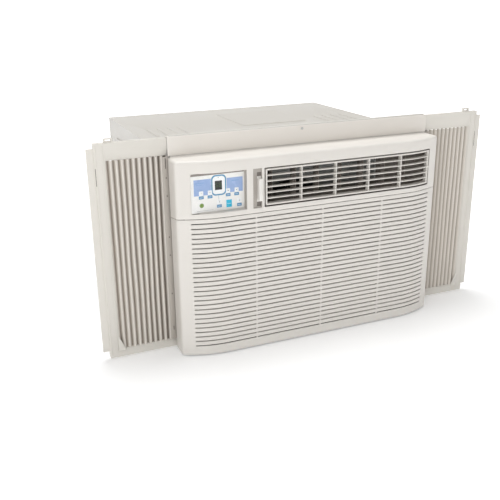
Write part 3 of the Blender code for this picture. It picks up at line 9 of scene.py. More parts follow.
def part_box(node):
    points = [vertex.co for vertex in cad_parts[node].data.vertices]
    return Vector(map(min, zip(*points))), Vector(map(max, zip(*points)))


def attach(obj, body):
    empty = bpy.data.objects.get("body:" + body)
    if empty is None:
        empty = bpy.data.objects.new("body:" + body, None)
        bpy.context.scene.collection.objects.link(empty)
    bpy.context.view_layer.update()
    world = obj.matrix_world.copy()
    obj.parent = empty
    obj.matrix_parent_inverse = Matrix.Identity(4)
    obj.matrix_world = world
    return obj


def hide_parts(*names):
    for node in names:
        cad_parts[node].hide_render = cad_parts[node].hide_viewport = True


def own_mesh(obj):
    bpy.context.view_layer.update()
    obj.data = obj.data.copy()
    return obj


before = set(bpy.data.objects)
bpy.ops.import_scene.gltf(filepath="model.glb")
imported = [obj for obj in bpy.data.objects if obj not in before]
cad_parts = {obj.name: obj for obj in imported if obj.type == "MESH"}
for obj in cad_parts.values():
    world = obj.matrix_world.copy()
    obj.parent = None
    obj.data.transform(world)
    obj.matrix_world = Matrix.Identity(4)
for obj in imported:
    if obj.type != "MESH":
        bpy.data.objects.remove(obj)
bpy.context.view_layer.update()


# ---------------------------------------------------------------- sleeve
# The outer case is one sheet of steel 1.2 mm thick, folded round the chassis and baked in warm grey enamel.
# Louvres are stamped outwards in both sides and a long panel is embossed in the top to stiffen it.
# It is closed at the back by a punched guard, held with screws through the sides.

class Signal:
    """One output of a node; sums and products of signals add their own Math nodes."""

    def __init__(self, finish, socket):
        self.finish = finish
        self.socket = socket

    def math(self, operation, *values):
        settings = {"operation": operation}
        return self.finish.node("ShaderNodeMath", settings, dict(enumerate((self, *values))))

    def __add__(self, other):
        return self.math("ADD", other)

    def __sub__(self, other):
        return self.math("SUBTRACT", other)

    def __rsub__(self, other):
        return (self * -1) + other

    def __mul__(self, other):
        return self.math("MULTIPLY", other)

    def __abs__(self):
        return self.math("ABSOLUTE")

    __radd__ = __add__
    __rmul__ = __mul__

    def least(self, other):
        return self.math("MINIMUM", other)

    def most(self, other):
        return self.math("MAXIMUM", other)

    def repeat(self, pitch):
        """Distance from the nearest whole number of pitches."""
        return self.math("PINGPONG", pitch / 2)

    def below(self, edge, soft):
        """1 under the edge and 0 over it, with a soft step between."""
        settings = {"interpolation_type": "SMOOTHSTEP"}
        values = {"Value": self, "From Min": edge - soft, "From Max": edge + soft, "To Min": 1.0, "To Max": 0.0}
        return self.finish.node("ShaderNodeMapRange", settings, values)


class Finish:
    """A Principled material whose patterns read the piece's own coordinates, in metres."""

    def __init__(self, name, colour, roughness, **constants):
        self.material = bpy.data.materials.new(name)
        self.material.use_nodes = True
        self.tree = self.material.node_tree
        self.shader = self.tree.nodes["Principled BSDF"]
        self.set("Base Color", colour)
        self.set("Roughness", roughness)
        for socket, value in constants.items():
            self.set(socket.replace("_", " "), value)
        self.place = self.node("ShaderNodeTexCoord", {}, {}, "Object")

    def set(self, socket, value):
        self.feed(self.shader.inputs[socket], value)

    def feed(self, socket, value):
        if isinstance(value, Signal):
            self.tree.links.new(value.socket, socket)
        elif isinstance(value, (tuple, list)) and len(value) == 3 and socket.type == "RGBA":
            socket.default_value = (*value, 1.0)
        else:
            socket.default_value = value

    def node(self, kind, settings, sockets, output=0):
        """Add one node: its settings first, then the values or links of its sockets."""
        made = self.tree.nodes.new(kind)
        for name, value in settings.items():
            setattr(made, name, value)
        for name, value in sockets.items():
            self.feed(made.inputs[name], value)
        return Signal(self, made.outputs[output])

    def axes(self):
        """The piece's x, y and z in metres."""
        split = self.node("ShaderNodeSeparateXYZ", {}, {"Vector": self.place})
        outputs = split.socket.node.outputs
        return [Signal(self, outputs[name]) for name in "XYZ"]

    def noise(self, size, detail=3.0, stretch=(1.0, 1.0, 1.0)):
        """Cloudy values from 0 to 1, with patches about as wide as the size given."""
        scale = [s / size for s in stretch]
        spread = self.node("ShaderNodeVectorMath", {"operation": "MULTIPLY"}, {0: self.place, 1: scale})
        values = {"Vector": spread, "Scale": 1.0, "Detail": detail}
        return self.node("ShaderNodeTexNoise", {}, values, "Fac")

    def mix(self, share, first, second):
        """The first colour where the share is 0 and the second where it is 1."""
        return self.node("ShaderNodeMix", {"data_type": "RGBA"}, {"Factor": share, 6: first, 7: second}, 2)

    def bump(self, height, distance, strength=1.0):
        """Relief: height 1 stands one distance proud."""
        values = {"Height": height, "Distance": distance, "Strength": strength}
        self.set("Normal", self.node("ShaderNodeBump", {}, values))


def shade(colour, factor):
    return tuple(min(1.0, c * factor) for c in colour)


def enamel(name, colour, roughness=0.38):
    """Baked enamel on sheet steel: orange peel, faint clouding, and a thin gloss coat."""
    finish = Finish(name, colour, roughness, Coat_Roughness=0.25, Specular_IOR_Level=0.45)
    peel = finish.noise(0.0022, 2.0)
    cloud = finish.noise(0.16, 4.0)
    finish.set("Base Color", finish.mix(cloud, shade(colour, 0.96), shade(colour, 1.03)))
    finish.set("Roughness", cloud * 0.10 + (roughness - 0.05) + peel * 0.05)
    finish.set("Coat Weight", cloud * 0.08 + 0.06)
    finish.bump(peel, 0.00005)
    return finish.material


def alone(*objs):
    """Select only these objects, the last of them active."""
    if bpy.context.object and bpy.context.object.mode != "OBJECT":
        bpy.ops.object.mode_set(mode="OBJECT")
    bpy.ops.object.select_all(action="DESELECT")
    for obj in objs:
        obj.select_set(True)
        bpy.context.view_layer.objects.active = obj


def settled(name):
    """Name the new primitive and put its place and size into its mesh."""
    obj = bpy.context.object
    obj.name = name
    bpy.ops.object.transform_apply(location=True, rotation=True, scale=True)
    return obj


def block(name, low, high):
    """A cube drawn out between two corners, ready to be shaped."""
    alone()
    low, high = Vector(low), Vector(high)
    bpy.ops.mesh.primitive_cube_add(size=1, location=(low + high) / 2, scale=high - low)
    return settled(name)


def pick(obj, kind, test):
    """Open a piece for editing and select what passes a test on middle and direction."""
    alone(obj)
    bpy.ops.object.mode_set(mode="EDIT")
    bpy.ops.mesh.select_mode(type=kind)
    bpy.ops.mesh.select_all(action="DESELECT")
    mesh = bmesh.from_edit_mesh(obj.data)
    if kind == "FACE":
        found = [(face, face.calc_center_median(), face.normal) for face in mesh.faces]
    elif kind == "EDGE":
        found = []
        for edge in mesh.edges:
            a, b = edge.verts
            found.append((edge, (a.co + b.co) / 2, (b.co - a.co).normalized()))
    else:
        found = [(vert, vert.co, vert.normal) for vert in mesh.verts]
    for item, middle, direction in found:
        if test(middle, direction):
            item.select_set(True)
    bmesh.update_edit_mesh(obj.data)


def closed():
    """Leave edit mode."""
    bpy.ops.object.mode_set(mode="OBJECT")


def rounded(obj, width, segments=2, test=lambda middle, along: True):
    """Round the edges that pass the test."""
    pick(obj, "EDGE", test)
    bpy.ops.mesh.bevel(offset=width, offset_type="OFFSET", segments=segments, affect="EDGES", clamp_overlap=True)
    closed()
    return obj


def cut_away(obj, test):
    """Delete the faces that pass the test."""
    pick(obj, "FACE", test)
    bpy.ops.mesh.delete(type="FACE")
    closed()


def joined(name, parts):
    """Several shapes made one piece."""
    alone(*parts)
    if len(parts) > 1:
        bpy.ops.object.join()
    obj = bpy.context.object
    obj.name = name
    return obj


def copied(obj, change):
    """A copy with its own mesh, moved, turned or mirrored by a matrix."""
    alone(obj)
    bpy.ops.object.duplicate(linked=False)
    copy = bpy.context.object
    copy.data.transform(change)
    return copy


def repeated(obj, shifts):
    """The piece itself with a copy at each shift."""
    return [obj] + [copied(obj, Matrix.Translation(shift)) for shift in shifts]


def modified(obj, kind, **settings):
    """Add one modifier and apply it."""
    alone(obj)
    step = obj.modifiers.new(kind.lower(), kind)
    for name, value in settings.items():
        setattr(step, name, value)
    bpy.ops.object.modifier_apply(modifier=step.name)
    return obj


def softened(obj, width, segments, degrees):
    """Round every edge that is sharper than the angle."""
    return modified(obj, "BEVEL", width=width, segments=segments, limit_method="ANGLE",
                    angle_limit=math.radians(degrees))


def from_frame(node, name, edge=0.0, segments=2):
    """A copy of a frame part, merged into whole faces, with its folds or edges rounded."""
    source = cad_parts[node]
    obj = bpy.data.objects.new(name, source.data.copy())
    bpy.context.collection.objects.link(obj)
    alone(obj)
    bpy.ops.object.mode_set(mode="EDIT")
    bpy.ops.mesh.select_all(action="SELECT")
    bpy.ops.mesh.remove_doubles(threshold=0.00002)
    bpy.ops.mesh.dissolve_limited(angle_limit=math.radians(0.5))
    closed()
    if edge:
        softened(obj, edge, segments, 30)
    return obj


def fitted(obj, look, body, slot, *stands_for, angle=35.0):
    """Give a piece its finish and its body, and hide the frame parts it stands for. The slot is not used."""
    alone(obj)
    bpy.ops.object.shade_smooth_by_angle(angle=math.radians(angle))
    obj.data.materials.clear()
    obj.data.materials.append(look)
    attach(obj, body)
    if stands_for:
        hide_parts(*stands_for)
    return obj


def dressed(node, name, look, body, slot, edge=0.0, segments=2, angle=35.0):
    """A frame part that keeps its shape, with softened edges and its finish."""
    return fitted(from_frame(node, name, edge, segments), look, body, slot, node, angle=angle)


# The case's warm grey enamel is set darker than the rails' enamel of the same paint, as painted shade for the case's
# shaded sides.
case_enamel_painted_shade = enamel("case_enamel_painted_shade", (0.600, 0.575, 0.530))
case_low, case_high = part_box("cabinet_sleeve")
sleeve = from_frame("cabinet_sleeve", "sleeve_shell", edge=0.0005)


# Each louvre is a lip pressed out over its slot: closed above and at both ends, open below.
louvre_count = 7
louvre_pitch = 0.045
lip_out = 0.0030
lip_rise = 0.0085
slot_top = case_low.z + 0.136
slot_front = case_low.y + 0.2855
slot_length = 0.200
lip_margin = 0.003
lip_sheet = 0.0007
lip = block(
    "louvre_lips",
    (case_low.x - lip_out, slot_front - lip_margin, slot_top - 0.0045),
    (case_low.x + 0.0004, slot_front + slot_length + lip_margin, slot_top + lip_rise),
)
rounded(lip, 0.0024, 3, lambda middle, along: middle.x < case_low.x - lip_out / 2 and middle.z > slot_top)
cut_away(lip, lambda middle, normal: normal.z < -0.9 or normal.x > 0.9)
modified(lip, "SOLIDIFY", thickness=lip_sheet, offset=-1.0)
left_lips = repeated(lip, [(0, 0, k * louvre_pitch) for k in range(1, louvre_count)])
right_lips = [copied(left_lip, Matrix.Scale(-1, 4, (1, 0, 0))) for left_lip in left_lips]
for right_lip in right_lips:
    right_lip.data.flip_normals()
fitted(joined("louvre_lips", left_lips + right_lips), case_enamel_painted_shade, "cabinet", "case_paint")

# Long hoods stand over the slots in the top: raised strips, open only on the side towards the middle.
hood_pitch = 0.028
hood_half = 0.0045
hood_rise = 0.0012
hood_sheet = 0.0006
hoods = []
for side in (-1, 1):
    for k in range(4):
        x = side * (case_high.x - 0.133 + k * hood_pitch + 0.0025)
        hood = block(
            "top_hoods",
            (x - hood_half, case_low.y + 0.2235, case_high.z - 0.0003),
            (x + hood_half, case_low.y + 0.3275, case_high.z + hood_rise),
        )
        rounded(hood, 0.0010, 2, lambda middle, along: middle.z > case_high.z + 0.001)
        cut_away(hood, lambda middle, normal: normal.z < -0.9 or normal.x * side < -0.95)
        hoods.append(modified(hood, "SOLIDIFY", thickness=hood_sheet, offset=-1.0))
fitted(joined("top_hoods", hoods), case_enamel_painted_shade, "cabinet", "case_paint")

# The stiffening panel embossed in the top is a shallow raised step with soft sides.
panel = block(
    "top_emboss",
    (-0.040, case_low.y + 0.270, case_high.z - 0.0004),
    (0.150, case_low.y + 0.480, case_high.z + 0.0010),
)
pick(panel, "FACE", lambda middle, normal: normal.z > 0.9)
bpy.ops.mesh.inset(thickness=0.006, depth=0.0)
rounded(panel, 0.010, 4, lambda middle, along: abs(along.z) > 0.9)
rounded(panel, 0.0009, 3, lambda middle, along: middle.z > case_high.z + 0.0008 and abs(along.z) < 0.1)
fitted(panel, case_enamel_painted_shade, "cabinet", "case_paint")
fitted(sleeve, case_enamel_painted_shade, "cabinet", "case_paint", "cabinet_sleeve")

dressed("rear_guard", "rear_guard_grid", case_enamel_painted_shade, "cabinet", "case_paint", edge=0.0004)


def rod(name, sides, radius, length, middle, rotation=(0, 0, 0)):
    """A round or six-sided bar, ready to be shaped."""
    alone()
    bpy.ops.mesh.primitive_cylinder_add(
        vertices=sides, radius=radius, depth=length, location=middle, rotation=rotation,
    )
    return settled(name)


def screw(name, middle, direction, radius=0.004, height=0.0022):
    """A pan-head screw with a round driver recess, its head along the direction."""
    turn = Vector((0, 0, 1)).rotation_difference(Vector(direction)).to_euler()
    head = rod(name, 20, radius, height, (0, 0, height / 2))
    rounded(head, height * 0.45, 3, lambda spot, along: spot.z > height * 0.9)
    pick(head, "FACE", lambda spot, normal: normal.z > 0.99 and spot.length < radius * 0.9)
    bpy.ops.mesh.inset(thickness=radius * 0.42, depth=0.0)
    bpy.ops.mesh.inset(thickness=radius * 0.08, depth=-height * 0.5)
    closed()
    head.data.transform(Matrix.Translation(middle) @ turn.to_matrix().to_4x4())
    return head


def zinc(name, colour=(0.58, 0.59, 0.60), roughness=0.42):
    """Galvanised sheet: soft spangle and a dull metal sheen."""
    finish = Finish(name, colour, roughness, Metallic=1.0)
    cells = finish.node("ShaderNodeTexVoronoi", {}, {"Vector": finish.place, "Scale": 130.0}, "Color")
    grey = finish.node("ShaderNodeSeparateColor", {}, {"Color": cells}, "Red")
    cloud = finish.noise(0.05, 3.0)
    finish.set("Base Color", finish.mix(grey, shade(colour, 0.86), shade(colour, 1.12)))
    finish.set("Roughness", grey * 0.14 + cloud * 0.10 + (roughness - 0.10))
    finish.bump(cloud, 0.0001, 0.5)
    return finish.material


screw_zinc = zinc("screw_zinc", (0.50, 0.50, 0.49), 0.32)
case_screws = []
for side in (-1, 1):
    for height in (0.060, 0.235, 0.400):
        for back in (0.012, 0.330):
            spot = Vector((side * case_high.x, case_high.y - back, height))
            case_screws.append(screw("case_screw", spot, (side, 0, 0)))
fitted(joined("case_screws", case_screws), screw_zinc, "cabinet", "case_paint")


# ---------------------------------------------------------------- chassis sheet metal
# The chassis that slides into the sleeve is plain galvanised steel: base pan, bulkhead, motor cradle,
# fan shroud and control box, each folded from one blank and spot welded or screwed together.

chassis_zinc = zinc("chassis_zinc")
for node, name, edge in (
    ("base_pan", "base_pan_sheet", 0.0004), ("bulkhead", "bulkhead_sheet", 0.0003),
    ("fan_shroud", "fan_shroud_sheet", 0.0004), ("control_box", "control_box_sheet", 0.0004),
    ("motor_stand", "motor_cradle", 0.0015),
):
    dressed(node, name, chassis_zinc, "cabinet", "zinc_steel", edge=edge)


# ---------------------------------------------------------------- coils
# Both heat exchangers are stacks of thin aluminium fins pressed on to copper tubes between steel end plates.
# The tubes come out of the ends as soldered U bends, one row above the other.

def fin_stock(name, colour):
    """Bare fin sheet: bright, slightly wavy along its height."""
    finish = Finish(name, colour, 0.30, Metallic=0.25)
    ripple = finish.noise(0.004, 2.0, (1.0, 1.0, 0.3))
    cloud = finish.noise(0.07, 3.0)
    finish.set("Base Color", finish.mix(cloud, shade(colour, 0.85), shade(colour, 1.08)))
    finish.set("Roughness", ripple * 0.15 + 0.24)
    finish.bump(ripple, 0.0002, 0.6)
    return finish.material


def copper(name, colour=(0.72, 0.36, 0.22)):
    """Drawn copper tube: dull bloom in patches over bright metal."""
    finish = Finish(name, colour, 0.32, Metallic=1.0)
    bloom = finish.noise(0.018, 4.0)
    finish.set("Base Color", finish.mix(bloom, shade(colour, 0.62), shade(colour, 1.10)))
    finish.set("Roughness", bloom * 0.25 + 0.20)
    finish.bump(bloom, 0.00008, 0.4)
    return finish.material


fins_bright = fin_stock("fins_bright", (0.78, 0.79, 0.80))
copper_bright = copper("copper_bright")


fin_pitch = 0.0022
fin_sheet = 0.00045
tube_spacing = 0.0254
tube_rows = 2


def moved(obj, by, test):
    """Move the points that pass the test."""
    pick(obj, "VERT", test)
    bpy.ops.transform.translate(value=by)
    closed()


def fin_pack(name, low, high):
    """Upright fins from one end to the other, each with two folds that catch the light."""
    fin = block(name, low, (low.x + fin_sheet, high.y, high.z))
    pick(fin, "EDGE", lambda middle, along: abs(along.y) > 0.9)
    bpy.ops.mesh.subdivide(number_cuts=3)
    for fold_y in ((low.y * 3 + high.y) / 4, (low.y + high.y * 3) / 4):
        moved(fin, (fin_pitch * 0.25, 0, 0), lambda spot, normal: abs(spot.y - fold_y) < 0.0005)
    count = int((high.x - low.x - 0.0002) / fin_pitch)
    return modified(fin, "ARRAY", count=count, use_relative_offset=False, use_constant_offset=True,
                    constant_offset_displace=(fin_pitch, 0, 0))


def faced_out():
    """Point every face of the open piece outwards and leave edit mode."""
    bpy.ops.mesh.select_all(action="SELECT")
    bpy.ops.mesh.normals_make_consistent(inside=False)
    closed()


def return_bend(name, side_x, depth, z_low, z_high, radius=0.0045):
    """A half-turn of tube that joins two passes at the end of a coil."""
    alone()
    bend_radius = (z_high - z_low) / 2
    bpy.ops.mesh.primitive_circle_add(
        vertices=10, radius=radius, fill_type="NOTHING",
        location=(side_x, depth, z_high), rotation=(0, math.pi / 2, 0),
    )
    bend = settled(name)
    pick(bend, "EDGE", lambda middle, along: True)
    bpy.ops.mesh.spin(
        steps=8, angle=math.pi, center=(side_x, depth, z_high - bend_radius), axis=(0, 1, 0),
    )
    faced_out()
    return bend


def coil(node, prefix):
    """Fins, end plates and return bends for one heat exchanger."""
    low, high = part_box(node)
    plate = 0.0015
    inner_low = Vector((low.x + plate + 0.0006, low.y + 0.0030, low.z + 0.0012))
    inner_high = Vector((high.x - plate - 0.0006, high.y - 0.0030, high.z - 0.0006))
    fins = fin_pack(prefix + "_fins", inner_low, inner_high)
    fitted(fins, fins_bright, "cabinet", "fin_aluminium", node)
    plates = []
    for x in (low.x, high.x - plate):
        end = block(prefix + "_end", (x, low.y, low.z), (x + plate, high.y, high.z))
        rounded(end, 0.0004, 2)
        plates.append(end)
    fitted(joined(prefix + "_end_plates", plates), chassis_zinc, "cabinet", "fin_aluminium")
    count = int((high.z - low.z - 0.02) / tube_spacing / 2)
    bends = []
    for row in range(tube_rows):
        depth = low.y + (high.y - low.y) * (row + 0.5) / tube_rows
        shift = tube_spacing / 2 if row % 2 else 0.0
        for k in range(count):
            z = low.z + 0.012 + shift + 2 * k * tube_spacing
            bends.append(return_bend(prefix + "_bend", high.x, depth, z, z + tube_spacing * 0.9))
    fitted(joined(prefix + "_bends", bends), copper_bright, "cabinet", "copper_tube", angle=50.0)


coil("condenser_coil", "condenser")
coil("evaporator_coil", "evaporator")


# ---------------------------------------------------------------- compressor
# The hermetic compressor is a drawn steel can in black paint, welded round its middle to a three-footed plate.
# It stands on rubber grommets held by bolts, and a moulded cap with a wire clip covers its terminals.

def turned(name, profile, middle, axis=(0, 0, 1), steps=48):
    """A line of (radius, height) points spun round an axis through a point."""
    alone()
    bpy.ops.mesh.primitive_plane_add(size=0.001)
    obj = settled(name)
    pick(obj, "VERT", lambda spot, normal: True)
    bpy.ops.mesh.merge(type="CENTER")
    bpy.ops.transform.translate(value=(profile[0][0], 0, profile[0][1]))
    for (r0, z0), (r1, z1) in zip(profile, profile[1:]):
        bpy.ops.mesh.extrude_region_move(TRANSFORM_OT_translate={"value": (r1 - r0, 0, z1 - z0)})
    bpy.ops.mesh.select_all(action="SELECT")
    bpy.ops.mesh.spin(steps=steps, angle=2 * math.pi, center=(0, 0, 0), axis=(0, 0, 1))
    bpy.ops.mesh.select_all(action="SELECT")
    bpy.ops.mesh.remove_doubles(threshold=0.00001)
    faced_out()
    turn = Vector((0, 0, 1)).rotation_difference(Vector(axis)).to_matrix().to_4x4()
    obj.data.transform(Matrix.Translation(middle) @ turn)
    return obj


def around(obj, count, middle, axis):
    """The piece itself with copies spaced evenly round an axis."""
    made = [obj]
    for k in range(1, count):
        turn = Matrix.Rotation(2 * math.pi * k / count, 4, Vector(axis))
        made.append(copied(obj, Matrix.Translation(middle) @ turn @ Matrix.Translation(-Vector(middle))))
    return made


def upright(node):
    """The axis, foot, top and radius of a round part that stands on end."""
    low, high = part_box(node)
    return Vector(((low.x + high.x) / 2, (low.y + high.y) / 2, 0.0)), low.z, high.z, (high.x - low.x) / 2


def painted_black(name, colour=(0.022, 0.022, 0.024), roughness=0.36):
    """Dipped black enamel: sags and dust over a smooth gloss."""
    finish = Finish(name, colour, roughness, Coat_Roughness=0.2)
    dust = finish.noise(0.020, 4.0)
    sag = finish.noise(0.006, 2.0, (1.0, 1.0, 0.4))
    finish.set("Base Color", finish.mix(dust, colour, shade(colour, 2.6)))
    finish.set("Roughness", dust * 0.22 + (roughness - 0.08))
    finish.set("Coat Weight", sag * 0.3 + 0.15)
    finish.bump(sag, 0.0002, 0.5)
    return finish


can_low, can_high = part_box("compressor")
sash_y = case_low.y - 0.0145
can_middle = Vector((-0.215, sash_y + 0.300, 0.0))
foot_z = can_low.z
can_top = can_high.z
black = painted_black("compressor_black")
across_can, _, up = black.axes()
weld = abs(up - (foot_z + 0.150)).below(0.0022, 0.0012)
label_z = foot_z + 0.105
label = abs(up - label_z).below(0.022, 0.0004) * across_can.below(can_middle.x - 0.030, 0.0004)
lines = up.repeat(0.0060).below(0.0011, 0.0003) * abs(up - label_z).below(0.018, 0.0004)
paper = black.mix(lines, (0.62, 0.62, 0.58), (0.14, 0.14, 0.15))
dust_and_shade = black.mix(black.noise(0.020, 4.0), (0.022, 0.022, 0.024), (0.070, 0.068, 0.064))
black.set("Base Color", black.mix(label, black.mix(weld, dust_and_shade, (0.16, 0.13, 0.11)), paper))
# The lower shell is measured up from the feet and the domed lid down from the top.
lower_shell = [
    (0.0, 0.001), (0.052, 0.001), (0.060, 0.003), (0.067, 0.009), (0.0705, 0.018),
    (0.0712, 0.026), (0.0712, 0.147), (0.0725, 0.148), (0.0725, 0.152), (0.0716, 0.153),
]
lid = [
    (0.0716, 0.060), (0.0695, 0.044), (0.0640, 0.029), (0.0550, 0.017), (0.0420, 0.008),
    (0.0250, 0.003), (0.0070, 0.002), (0.0070, 0.0), (0.0, 0.0),
]
profile = [(wide, foot_z + rise) for wide, rise in lower_shell] + [(wide, can_top - drop) for wide, drop in lid]
can = turned("compressor_can", profile, can_middle, steps=64)
plate = from_frame("compressor", "compressor_plate", edge=0.0006)
cut_away(plate, lambda middle, normal: middle.z > foot_z + 0.0034)
cap = block(
    "terminal_cap",
    (can_middle.x + 0.050, can_middle.y - 0.060, foot_z + 0.170),
    (can_middle.x + 0.074, can_middle.y - 0.020, foot_z + 0.212),
)
rounded(cap, 0.006, 4)
fitted(joined("compressor_can", [can, plate, cap]), black.material, "cabinet", "black_paint", "compressor", angle=40.0)

rubber_black = Finish("rubber_black", (0.020, 0.020, 0.021), 0.72, Specular_IOR_Level=0.35)
bloom = rubber_black.noise(0.006, 3.0)
rubber_black.set("Base Color", rubber_black.mix(bloom, (0.014, 0.014, 0.015), (0.048, 0.046, 0.044)))
rubber_black.set("Roughness", bloom * 0.2 + 0.62)
rubber_black.bump(rubber_black.noise(0.0008, 2.0), 0.00006)
bolts = []
for number in (1, 2, 3):
    spot, z0, z1, r = upright(f"compressor_grommet_{number}")
    waist = [
        (0.0, z0), (r - 0.001, z0), (r, z0 + 0.001), (r, z0 + 0.004), (r - 0.0025, z0 + 0.006),
        (r - 0.0025, z1 - 0.005), (r, z1 - 0.0035), (r, z1 - 0.001), (r - 0.001, z1), (0.0, z1),
    ]
    grommet = turned(f"grommet_{number}", waist, spot, steps=32)
    fitted(grommet, rubber_black.material, "cabinet", "rubber", f"compressor_grommet_{number}")
    nut = rounded(rod("grommet_nut", 6, 0.0062, 0.0050, (spot.x, spot.y, foot_z + 0.0066)), 0.0006, 2)
    washer = turned("grommet_washer", [(0.0, 0.0), (0.0085, 0.0), (0.0088, 0.0003), (0.0085, 0.0012), (0.0, 0.0012)],
                    (spot.x, spot.y, foot_z + 0.0030), steps=28)
    stud = turned("grommet_stud", [(0.0, 0.0), (0.0030, 0.0), (0.0030, 0.0060), (0.0024, 0.0068), (0.0, 0.0068)],
                  (spot.x, spot.y, foot_z + 0.0070), steps=16)
    bolts += [nut, washer, stud]
fitted(joined("grommet_bolts", bolts), screw_zinc, "cabinet", "zinc_steel")

# The accumulator is a spun shell beside the can, held to it by a steel strap.
spot, z0, z1, r = upright("accumulator")
shoulder = [(0.0, 0.0), (0.008, 0.0), (0.0085, 0.004), (0.016, 0.006), (0.0225, 0.011), (r - 0.0003, 0.019)]
shell = turned(
    "accumulator_shell",
    [(wide, z0 + rise) for wide, rise in shoulder] + [(wide, z1 - drop) for wide, drop in reversed(shoulder)],
    spot, steps=40,
)
strap = turned("accumulator_strap", [
    (r - 0.001, 0.0), (r + 0.0006, 0.0), (r + 0.0009, 0.0005), (r + 0.0009, 0.0095), (r + 0.0006, 0.010),
    (r - 0.001, 0.010),
], (spot.x, spot.y, (z0 + z1) / 2 - 0.005), steps=40)
painted = painted_black("accumulator_black", (0.026, 0.026, 0.027), 0.34)
fitted(shell, painted.material, "cabinet", "black_paint", "accumulator", angle=40.0)
fitted(strap, screw_zinc, "cabinet", "zinc_steel")

# Copper lines are bent cold and brazed; a dull grey ring of filler shows at every joint.
for node in ("compressor_inlet_line", "suction_line", "discharge_line", "capillary_line"):
    dressed(node, node + "_tube", copper_bright, "cabinet", "copper_tube", angle=60.0)
joints = [
    ((spot.x, spot.y, z1 + 0.0004), (0, 0, 1), 0.0050),
    ((spot.x, spot.y, z0 - 0.0050), (0, 0, 1), 0.0050),
    ((can_middle.x, can_middle.y, can_top + 0.0004), (0, 0, 1), 0.0040),
]
brazed = []
for middle, axis, size in joints:
    fillet = [(-0.0003, 0.0), (0.0007, 0.0), (0.0012, 0.0012), (0.0010, 0.0032), (0.0001, 0.0046)]
    brazed.append(turned("brazed_ring", [(size + wide, rise) for wide, rise in fillet], middle, axis, steps=24))
filler = zinc("brazing_filler", (0.40, 0.36, 0.30), 0.45)
fitted(joined("brazed_rings", brazed), filler, "cabinet", "copper_tube")


# ---------------------------------------------------------------- fan motor and condenser fan
# One double-shafted motor turns both fans. Its shell is pressed steel with a bearing boss at each end and
# four long screws. The moulded condenser fan carries a ring that slings drain water on to the hot coil.

def moulded(name, colour, roughness=0.42, grain=0.00055):
    """Injection-moulded plastic: fine spark-eroded grain, faint flow clouding, soft sheen."""
    finish = Finish(name, colour, roughness, Specular_IOR_Level=0.42, Coat_Roughness=0.35)
    texture = finish.noise(grain, 1.0)
    flow = finish.noise(0.12, 3.0, (1.0, 1.0, 0.6))
    handled = finish.noise(0.030, 4.0)
    finish.set("Base Color", finish.mix(flow, shade(colour, 0.975), shade(colour, 1.02)))
    finish.set("Roughness", handled * 0.08 + flow * 0.06 + (roughness - 0.07))
    finish.set("Coat Weight", handled * 0.05 + 0.04)
    finish.bump(texture, 0.00003)
    return finish.material


rotor_x, rotor_z = 0.041, 0.200
motor_low, motor_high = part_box("fan_motor")
axle = Vector((rotor_x, 0.0, rotor_z))
front, back = motor_low.y, motor_high.y
r = (motor_high.x - motor_low.x) / 2
bore = 0.0064
shell = turned("motor_shell", [
    (bore, front), (0.0165, front), (0.0178, front + 0.0013), (0.0178, front + 0.0085), (0.0200, front + 0.0100),
    (r - 0.0075, front + 0.0104), (r - 0.0030, front + 0.0120), (r - 0.0006, front + 0.0162),
    (r - 0.0006, front + 0.040),
    (r - 0.0018, front + 0.041), (r - 0.0018, back - 0.039), (r - 0.0006, back - 0.038), (r - 0.0006, back - 0.0142),
    (r - 0.0030, back - 0.0100), (r - 0.0075, back - 0.0084), (0.0200, back - 0.0080), (0.0178, back - 0.0065),
    (0.0178, back - 0.0013), (0.0165, back), (bore, back), (bore, front),
], axle, (0, 1, 0), steps=60)
ear = block("motor_screw", (rotor_x + r - 0.0180, front + 0.0085, rotor_z - 0.0032),
            (rotor_x + r - 0.0110, front + 0.0125, rotor_z + 0.0032))
rounded(ear, 0.0012, 2)
motor_parts = [shell] + around(ear, 4, axle, (0, 1, 0))
motor_black = painted_black("motor_black", (0.030, 0.031, 0.034), 0.40)
x_motor, along_motor, z_motor = motor_black.axes()
band = abs(along_motor - (front + back) / 2).below(0.0120, 0.0004)
label = band * abs(x_motor - rotor_x).below(0.026, 0.0004) * (z_motor * -1).below(-rotor_z - 0.02, 0.0004)
rows = along_motor.repeat(0.0040).below(0.0008, 0.0002)
motor_dust = motor_black.mix(motor_black.noise(0.018, 4.0), (0.026, 0.027, 0.030), (0.085, 0.083, 0.078))
motor_paper = motor_black.mix(rows, (0.50, 0.50, 0.47), (0.12, 0.12, 0.13))
motor_black.set("Base Color", motor_black.mix(label, motor_dust, motor_paper))
fitted(joined("motor_shell", motor_parts), motor_black.material, "cabinet", "black_paint", "fan_motor")

shaft_low, shaft_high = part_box("fan_shaft")
shaft = turned("rotor_shaft", [
    (0.0, shaft_low.y), (0.0052, shaft_low.y), (0.0059, shaft_low.y + 0.0007), (0.0059, shaft_high.y - 0.0007),
    (0.0052, shaft_high.y), (0.0, shaft_high.y),
], axle, (0, 1, 0), steps=32)
ground = Finish("ground_steel", (0.56, 0.56, 0.57), 0.25, Metallic=1.0)
score = ground.noise(0.004, 3.0, (1.0, 12.0, 1.0))
ground.set("Base Color", ground.mix(score, (0.44, 0.44, 0.45), (0.62, 0.62, 0.63)))
ground.set("Roughness", score * 0.15 + 0.18)
ground.bump(score, 0.00005, 0.5)
fitted(shaft, ground.material, "rotor", "zinc_steel", "fan_shaft")

